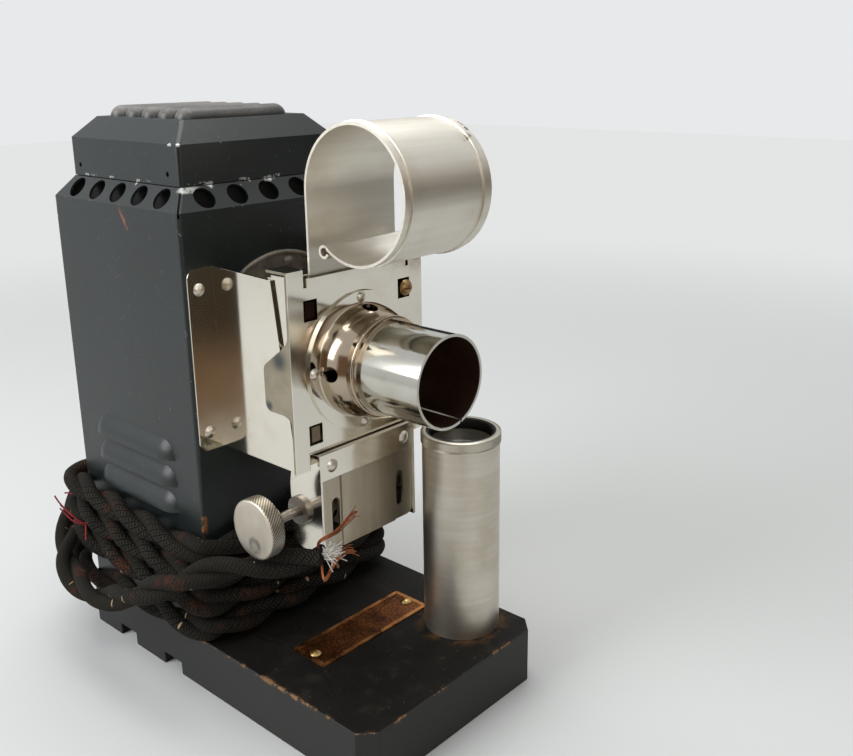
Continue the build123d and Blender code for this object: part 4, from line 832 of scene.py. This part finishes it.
def makeLensRim(settings):
    outer, height, bore = settings["radius"], settings["height"], settings["bore"]
    profile = [(bore, 0)] + edgeOf(outer, 0, settings["lowEdge"])
    profile += [(outer, level) for level in knurlHeights(settings)]
    profile += edgeOf(outer, height, settings["topEdge"])
    profile += edgeOf(bore, height, settings["boreEdge"]) + [(bore, 0)]
    x, y = shared["lensAt"]
    place = Matrix.Translation((x * mm, y * mm, settings["bottom"] * mm))
    mesh = meshOf(turnedPiece(profile, settings, place), "knurledLensRim", 50)
    addPiece(mesh, "knurledLensRim", "spare_lens", rimNickel, ["lens_rim_ring"])


makeKnob(knobSet)
makeLensRim(rimSet)
print("knurled pieces made")


# Bare plate with a sunk field inside a raised border
namePlateSet = {
    "half": (24.1, 7.5),
    "thick": 0.5,
    "corner": 1.1,
    "bead": 0.12,
    "border": 1.4,
    "slope": 0.15,
    "sunk": 0.18,
}


def makeNamePlate(settings):
    halfX, halfY = settings["half"]
    bm = bmesh.new()
    bmesh.ops.create_cube(bm, size=1)
    bmesh.ops.scale(bm, vec=(2 * halfX * mm, 2 * halfY * mm, settings["thick"] * mm), verts=bm.verts)
    middle = (0, shared["plateY"] * mm, (shared["baseTop"] + settings["thick"] / 2) * mm)
    bmesh.ops.translate(bm, vec=middle, verts=bm.verts)
    uprights = [edge for edge in bm.edges if abs(edge.verts[0].co.z - edge.verts[1].co.z) > 0.1 * mm]
    bmesh.ops.bevel(bm, geom=uprights, offset=settings["corner"] * mm, offset_type="OFFSET", segments=3,
                    profile=0.5, affect="EDGES", material=-1)
    top = [face for face in bm.faces if face.normal.z > 0.9]
    for thickness, sunk in (("bead", 0), ("border", 0), ("slope", -settings["sunk"] * mm)):
        bmesh.ops.inset_region(bm, faces=top, thickness=settings[thickness] * mm, depth=sunk)
    addPiece(meshOf(bm, "barePlate"), "barePlate", "root", plateBronze, ["nameplate"])


makeNamePlate(namePlateSet)
print("plate made")


# Cord: a route close to the source's, nearer to the wall and with a looser loop, as one smooth spline
cordSet = {
    "diameter": 8.8, "clearance": 0.3,
    "wallOffset": 5.3, "cornerCut": 5.3,
    "pitch": 9.4, "sag": 9.0, "bulge": 0.6,
    "louvreTurn": 3.4, "louvreOffset": 1.4,
    "firstStep": 3, "lastStep": 48,
    "exit": (12.0, 75.95, 25.35),
    "length": 1527.7,
    "lay": 43.0, "offset": 2.05, "strand": 2.4,
}
cordLow = shared["baseTop"] + cordSet["clearance"] + cordSet["diameter"] / 2


def cordHeight(turn):
    raised = cordSet["sag"] * (1 + math.cos(2 * math.pi * turn)) / 2
    return cordLow + cordSet["pitch"] * (turn - 0.5) + raised


def cordOffset(turn):
    share = min(max((turn - cordSet["louvreTurn"]) / 0.2, 0), 1)
    return cordSet["wallOffset"] + cordSet["louvreOffset"] * share ** 2 * (3 - 2 * share)


# a point at a twelfth of a turn: the middle of a side, or beside a corner
def cordPoint(step):
    side = math.floor(step / 3 + 0.5)
    part = step - side * 3
    shown = side / 4 + part * 0.11
    reach = shared["houseHalf"] + cordOffset(shown)
    if part == 0:
        x, y = 0.0, reach + cordSet["bulge"]
    else:
        x, y = -part * (reach - cordSet["cornerCut"]), reach
    angle = side * math.pi / 2
    turnedX = x * math.cos(angle) - y * math.sin(angle)
    turnedY = x * math.sin(angle) + y * math.cos(angle)
    return (turnedX, shared["houseY"] + turnedY, cordHeight(shown))


houseBack = shared["houseBack"]
cordLead = [
    cordSet["exit"],
    (12.0, houseBack + 19.4, 25.35),
    (-14.0, houseBack + 19.8, 24.95),
    (-37.0, houseBack + 10.8, cordLow + 0.6),
    (-46.5, houseBack - 6.9, cordLow + 0.9),
]
cordTail = [
    (-15, 89, 55), (-28, 91, 46), (-38.5, 87, 38.5), (-44.5, 77.5, 35.5), (-51, 67, 33.5),
    (-55.5, 57.5, 32), (-57, 47, 29), (-57, 34, 30), (-56.5, 18, 36.5), (-54.5, 1, 45),
    (-50.5, -12.5, 52.5), (-42.5, -20.5, 55), (-32, -31, 55.2), (-24.6, -42, 59.5),
]
winding = [cordPoint(step) for step in range(cordSet["firstStep"], cordSet["lastStep"] + 1)]
cordRoute = cordLead + winding + cordTail


def newCurve(name, routes, radius, smooth=False, sides=3):
    data = bpy.data.curves.new(name, "CURVE")
    data.dimensions = "3D"
    data.bevel_depth = radius
    data.bevel_resolution = sides
    data.resolution_u = 16
    data.use_fill_caps = radius > 0
    for route in routes:
        spline = data.splines.new("NURBS" if smooth else "POLY")
        spline.points.add(len(route) - 1)
        for point, place in zip(spline.points, route):
            point.co = (*place, 1)
        if smooth:
            spline.order_u = 3
            spline.use_endpoint_u = True
    return data


def curveMesh(data):
    holder = bpy.data.objects.new("holder", data)
    mesh = bpy.data.meshes.new_from_object(holder)
    bpy.data.objects.remove(holder)
    return mesh


def splineLine(places, every=1):
    line = curveMesh(newCurve("line", [places], 0, smooth=True))
    return [vert.co.copy() for vert in line.vertices][::every]


def addStrands(name, routes, radius, material, replaced=(), sides=1):
    mesh = curveMesh(newCurve(name, routes, radius * mm, sides=sides))
    mesh.shade_smooth()
    return addPiece(mesh, name, "root", material, replaced)


# the two conductors, laid round each other along the route's spline
def twistedPair(points, settings):
    frames = []
    away = None
    run = 0.0
    for number, point in enumerate(points):
        before = points[max(number - 1, 0)]
        after = points[min(number + 1, len(points) - 1)]
        way = (after - before).normalized()
        away = way.orthogonal() if away is None else away - way * away.dot(way)
        away.normalize()
        run += (point - before).length
        frames.append((point, away.copy(), way.cross(away), run))
    phase = random.Random(7).uniform(0, 6.28)
    strands = []
    for side in (0, math.pi):
        strand = []
        for point, away, across, run in frames:
            turned = 2 * math.pi * run / (settings["lay"] * mm)
            angle = side + turned + 0.5 * math.sin(run * 23 + phase)
            outward = away * math.cos(angle) + across * math.sin(angle)
            strand.append(point + outward * settings["offset"] * mm)
        strands.append(strand)
    return strands


cordPoints = splineLine([Vector(point) * mm for point in cordRoute])
cordStrands = twistedPair(cordPoints, cordSet)
cordPiece = addStrands("twistedCord", cordStrands, cordSet["strand"], braid, ["power_cord"], 4)
print("cord made:", len(cordPoints), "points")


# Dark sleeve behind the vents: a near-black sheet that puts painted shade in the vent openings
baffleSet = {"half": 28.7, "low": 157.0, "high": 165.0, "finOut": (33.8, 30.4), "finHigh": 164.8}


def makeBaffle(settings):
    bm = bmesh.new()
    half, low, high = settings["half"], settings["low"], settings["high"]
    finLow, finTop = settings["finOut"]

    def corner(side, reach, height):
        ways = ((1, 1), (-1, 1), (-1, -1), (1, -1))
        x, y = ways[side % 4]
        return bm.verts.new((x * reach * mm, (shared["houseY"] + y * reach) * mm, height * mm))

    for side in range(4):
        bm.faces.new([corner(side, half, low), corner(side + 1, half, low),
                      corner(side + 1, half, high), corner(side, half, high)])
        bm.faces.new([corner(side, half, low), corner(side, finLow, low),
                      corner(side, finTop, settings["finHigh"]), corner(side, half, settings["finHigh"])])
    addPiece(meshOf(bm, "ventBaffle"), "ventBaffle", "root", ventShadeBlack)


makeBaffle(baffleSet)


# Bared ends: fine copper strands, a tuft of white cotton and threads pulled from the braid
wireSet = {
    "strands": 11, "radius": 0.13, "spread": 0.75,
    "upper": [(-25.6, -41.2, 61.5), (-28.0, -43.5, 65.2), (-25.5, -46.0, 67.2), (-22.5, -47.0, 68.2),
              (-19.0, -47.0, 70.2), (-16.2, -47.0, 71.3), (-13.8, -47.0, 71.6)],
    "lower": [(-25.0, -41.8, 56.0), (-26.4, -43.4, 51.6), (-26.0, -45.4, 53.4), (-24.6, -46.6, 57.8),
              (-21.8, -47.2, 60.4), (-18.2, -47.3, 60.6), (-14.6, -47.0, 57.6)],
}


def frayedWire(route, settings, seed):
    chance = random.Random(seed)
    routes = []
    for number in range(settings["strands"]):
        angle = 2 * math.pi * number / settings["strands"]
        reach = settings["spread"] * chance.uniform(0.25, 1.0)
        line = []
        for step, place in enumerate(route):
            share = step / (len(route) - 1)
            width = reach * (0.75 + 1.7 * share ** 3)
            turn = angle + share * 2.2
            offset = Vector((0.2 * math.cos(turn), math.cos(turn), math.sin(turn))) * width
            loose = Vector([chance.uniform(-1, 1) for _ in range(3)]) * (0.12 + 0.9 * share ** 4)
            line.append((Vector(place) + offset + loose) * mm)
        line[-1] = line[-2].lerp(line[-1], chance.uniform(0.35, 1.0))
        routes.append(splineLine(line, 4))
    return routes


copperRoutes = frayedWire(wireSet["upper"], wireSet, 11) + frayedWire(wireSet["lower"], wireSet, 23)
copperPiece = addStrands("copperStrands", copperRoutes, wireSet["radius"], copper, ["cord_bare_wires"])


tuftSet = {
    "centre": (-25.0, -44.4, 60.4),
    "scatter": 1.3,
    "threads": 110, "length": 4.8, "radius": 0.15,
    "lean": (0.9, -0.30, 0.12),
    "fan": 0.42,
    "shape": [(0, 0), (0.35, 0), (0.7, 0.7), (1, 1.5)],
}


def cottonTuft(settings):
    chance = random.Random(5)
    routes = []
    for _ in range(settings["threads"]):
        way = Vector([chance.gauss(0, settings["fan"]) for _ in range(3)]) + Vector(settings["lean"])
        way.normalize()
        start = Vector([chance.uniform(-settings["scatter"], settings["scatter"]) for _ in range(3)])
        start += Vector(settings["centre"])
        reach = settings["length"] * chance.uniform(0.45, 1.0)
        bend = Vector([chance.uniform(-1, 1) for _ in range(3)])
        line = [start + way * reach * share + bend * bent for share, bent in settings["shape"]]
        routes.append(splineLine([place * mm for place in line], 4))
    return routes


tuftPiece = addStrands("cottonTuft", cottonTuft(tuftSet), tuftSet["radius"], cotton)


threadRadius = 0.28
threadRoutes = [
    [(-47.6, 57.0, 46.5), (-51.0, 55.0, 49.5), (-53.5, 56.5, 53.5), (-55.0, 60.5, 56.5), (-55.5, 62.0, 59.5)],
    [(-47.6, 57.6, 45.8), (-50.6, 55.5, 48.8), (-53.2, 57.5, 52.8), (-54.6, 61.5, 55.9)],
    [(-47.4, 56.4, 47.0), (-51.2, 54.2, 48.2), (-54.4, 56.0, 52.0), (-56.0, 59.0, 56.0)],
    [(-47.9, 56.6, 46.4), (-48.6, 56.0, 43.0), (-48.4, 56.8, 40.2)],
    [(-49.5, 60.5, 57.5), (-50.8, 61.0, 58.6), (-51.4, 62.5, 58.0)],
]
threads = [splineLine([Vector(place) * mm for place in route], 4) for route in threadRoutes]
threadPiece = addStrands("redThreads", threads, threadRadius, redThread)
print("cord ends made")


# What bright metal mirrors from the room: colours, and ways as (x, y, mask's start, mask's full)
mirrored = {
    "brown": (0.24, 0.155, 0.098),
    "figure": (0.050, 0.038, 0.024),
    "case": (0.020, 0.024, 0.021),
    "floorRoom": (0.030, 0.024, 0.018),
    "room": (0.075, 0.045, 0.028),
    "figureWay": (-0.595, -0.804, 0.985, 0.995),
    "sideWay": (-0.93, -0.37, 0.93, 0.975),
    "roomWay": (0.574, -0.819, 0.90, 0.95),
    "caseWay": (0.70, 0.714, 0.90, 0.94),
}


def facing(finish, x, y, way):
    wayX, wayY, low, high = mirrored[way]
    return finish.ease((x * wayX + y * wayY) / distanceFrom(x, y), low, high)


# Floor: pale under the object, and the background's own white further off. Masks are painted reflections of
# the room, seen only in glossy rays: (colour, way, from, to).
stageSet = {
    "floor": (0.56, 0.57, 0.565),
    "reach": 2.4,
    "far": (0.775, 0.785, 0.785),
    "farFrom": (260, 900),
    "masks": [("brown", "figureWay", 200, 300), ("brown", "sideWay", 260, 420),
              ("figure", "figureWay", 380, 470), ("floorRoom", "roomWay", 720, 900)],
}


def makeFloor(settings):
    bm = bmesh.new()
    bmesh.ops.create_grid(bm, x_segments=1, y_segments=1, size=settings["reach"])
    floor = bpy.data.objects.new("paleFloor", meshOf(bm, "paleFloor"))
    scene.collection.objects.link(floor)
    finish = Finish("paleFloor")
    x, y, z = finish.axes()
    away = distanceFrom(x, y)
    pale = finish.node("ShaderNodeBsdfDiffuse", None, {"Color": settings["floor"]})
    lit = finish.node("ShaderNodeEmission", None, {"Color": settings["far"], "Strength": 1.0})
    path = finish.node("ShaderNodeLightPath")
    glossy = finish.twin(path, "Is Glossy Ray")
    seen = path.over(glossy).over(finish.twin(path, "Is Transmission Ray"))
    far = finish.ease(away, *settings["farFrom"]) * seen
    shader = finish.node("ShaderNodeMixShader", None, [far, pale, lit])
    # painted reflections: dark patches on the floor that only glossy rays see
    for colour, way, low, high in settings["masks"]:
        factor = facing(finish, x, y, way) * glossy * finish.ease(away, low, high)
        dark = finish.node("ShaderNodeEmission", None, {"Color": mirrored[colour], "Strength": 1.0})
        shader = finish.node("ShaderNodeMixShader", None, [factor, shader, dark])
    setFinish(floor, finish.finishWith(shader))


makeFloor(stageSet)


# World: even white to the camera, darker low in front for the metal. Masks are (colour, way, height).
worldSet = {
    "light": 0.62,
    "seen": (0.80, 0.815, 0.825),
    "front": (0.40, 0.34, 0.265),
    "fade": 0.08,
    "masks": [("brown", "sideWay", 0.30), ("figure", "figureWay", 0.45),
              ("room", "roomWay", 0.12), ("case", "caseWay", 0.24)],
}


class WorldFinish(Finish):
    def __init__(self, name):
        self.material = bpy.data.worlds.new(name)
        self.material.use_nodes = True
        self.tree = self.material.node_tree
        self.tree.nodes.clear()


def makeWorld(settings):
    finish = WorldFinish("softStudio")
    scene.world = finish.material
    coords = finish.node("ShaderNodeTexCoord")
    made = finish.node("ShaderNodeSeparateXYZ", None, [coords])
    x, y, z = [finish.twin(made, number) for number in range(3)]
    path = finish.node("ShaderNodeLightPath")
    unseen = 1 - path
    glossy = finish.twin(path, "Is Glossy Ray")
    front = finish.ease(x * 0.45 - y * 0.9, 0.05, 0.75) * finish.ease(z, 0.62, 0.10)
    colour = finish.mix(front * unseen, settings["seen"], settings["front"])
    patch = finish.node("ShaderNodeTexNoise", None, {"Vector": coords, "Scale": 2.6, "Detail": 1.0})
    band = finish.ease(z, 0.30, 0.12) * finish.ease(x * 0.2 - y, 0.25, 0.6)
    band = band * finish.ease(patch, 0.42, 0.56) * unseen
    colour = finish.mix(band, colour, mirrored["room"])
    for name, way, height in settings["masks"]:
        factor = facing(finish, x, y, way) * finish.ease(z, height + settings["fade"], height) * glossy
        colour = finish.mix(factor, colour, mirrored[name])
    seen = path.over(glossy).over(finish.twin(path, "Is Transmission Ray"))
    strength = seen + (1 - seen) * settings["light"]
    shader = finish.node("ShaderNodeBackground", None, [colour, strength])
    made = finish.tree.nodes.new("ShaderNodeOutputWorld")
    finish.tree.links.new(shader.socket, made.inputs["Surface"])


makeWorld(worldSet)


lampSet = {
    "leftSoft": {"place": (-0.75, 0.30, 0.55), "size": 0.6, "power": 7.0, "colour": (0.96, 0.98, 1.0)},
    "topSoft": {"place": (0.10, 0.15, 0.95), "size": 0.8, "power": 6.0, "colour": (1.0, 0.99, 0.97)},
    "cameraSoft": {"place": (-0.45, -0.75, 0.50), "size": 0.5, "power": 1.6, "colour": (1.0, 0.98, 0.95)},
}
lampAim = Vector((0, 0, 0.08))
for name, settings in lampSet.items():
    data = bpy.data.lights.new(name, "AREA")
    data.shape = "SQUARE"
    data.size = settings["size"]
    data.energy = settings["power"]
    data.color = settings["colour"]
    lamp = bpy.data.objects.new(name, data)
    lamp.location = settings["place"]
    lamp.rotation_euler = (lampAim - lamp.location).to_track_quat("-Z", "Y").to_euler()
    scene.collection.objects.link(lamp)
scene.view_settings.view_transform = "Standard"
print("stage and lamps made")

bpy.context.view_layer.update()
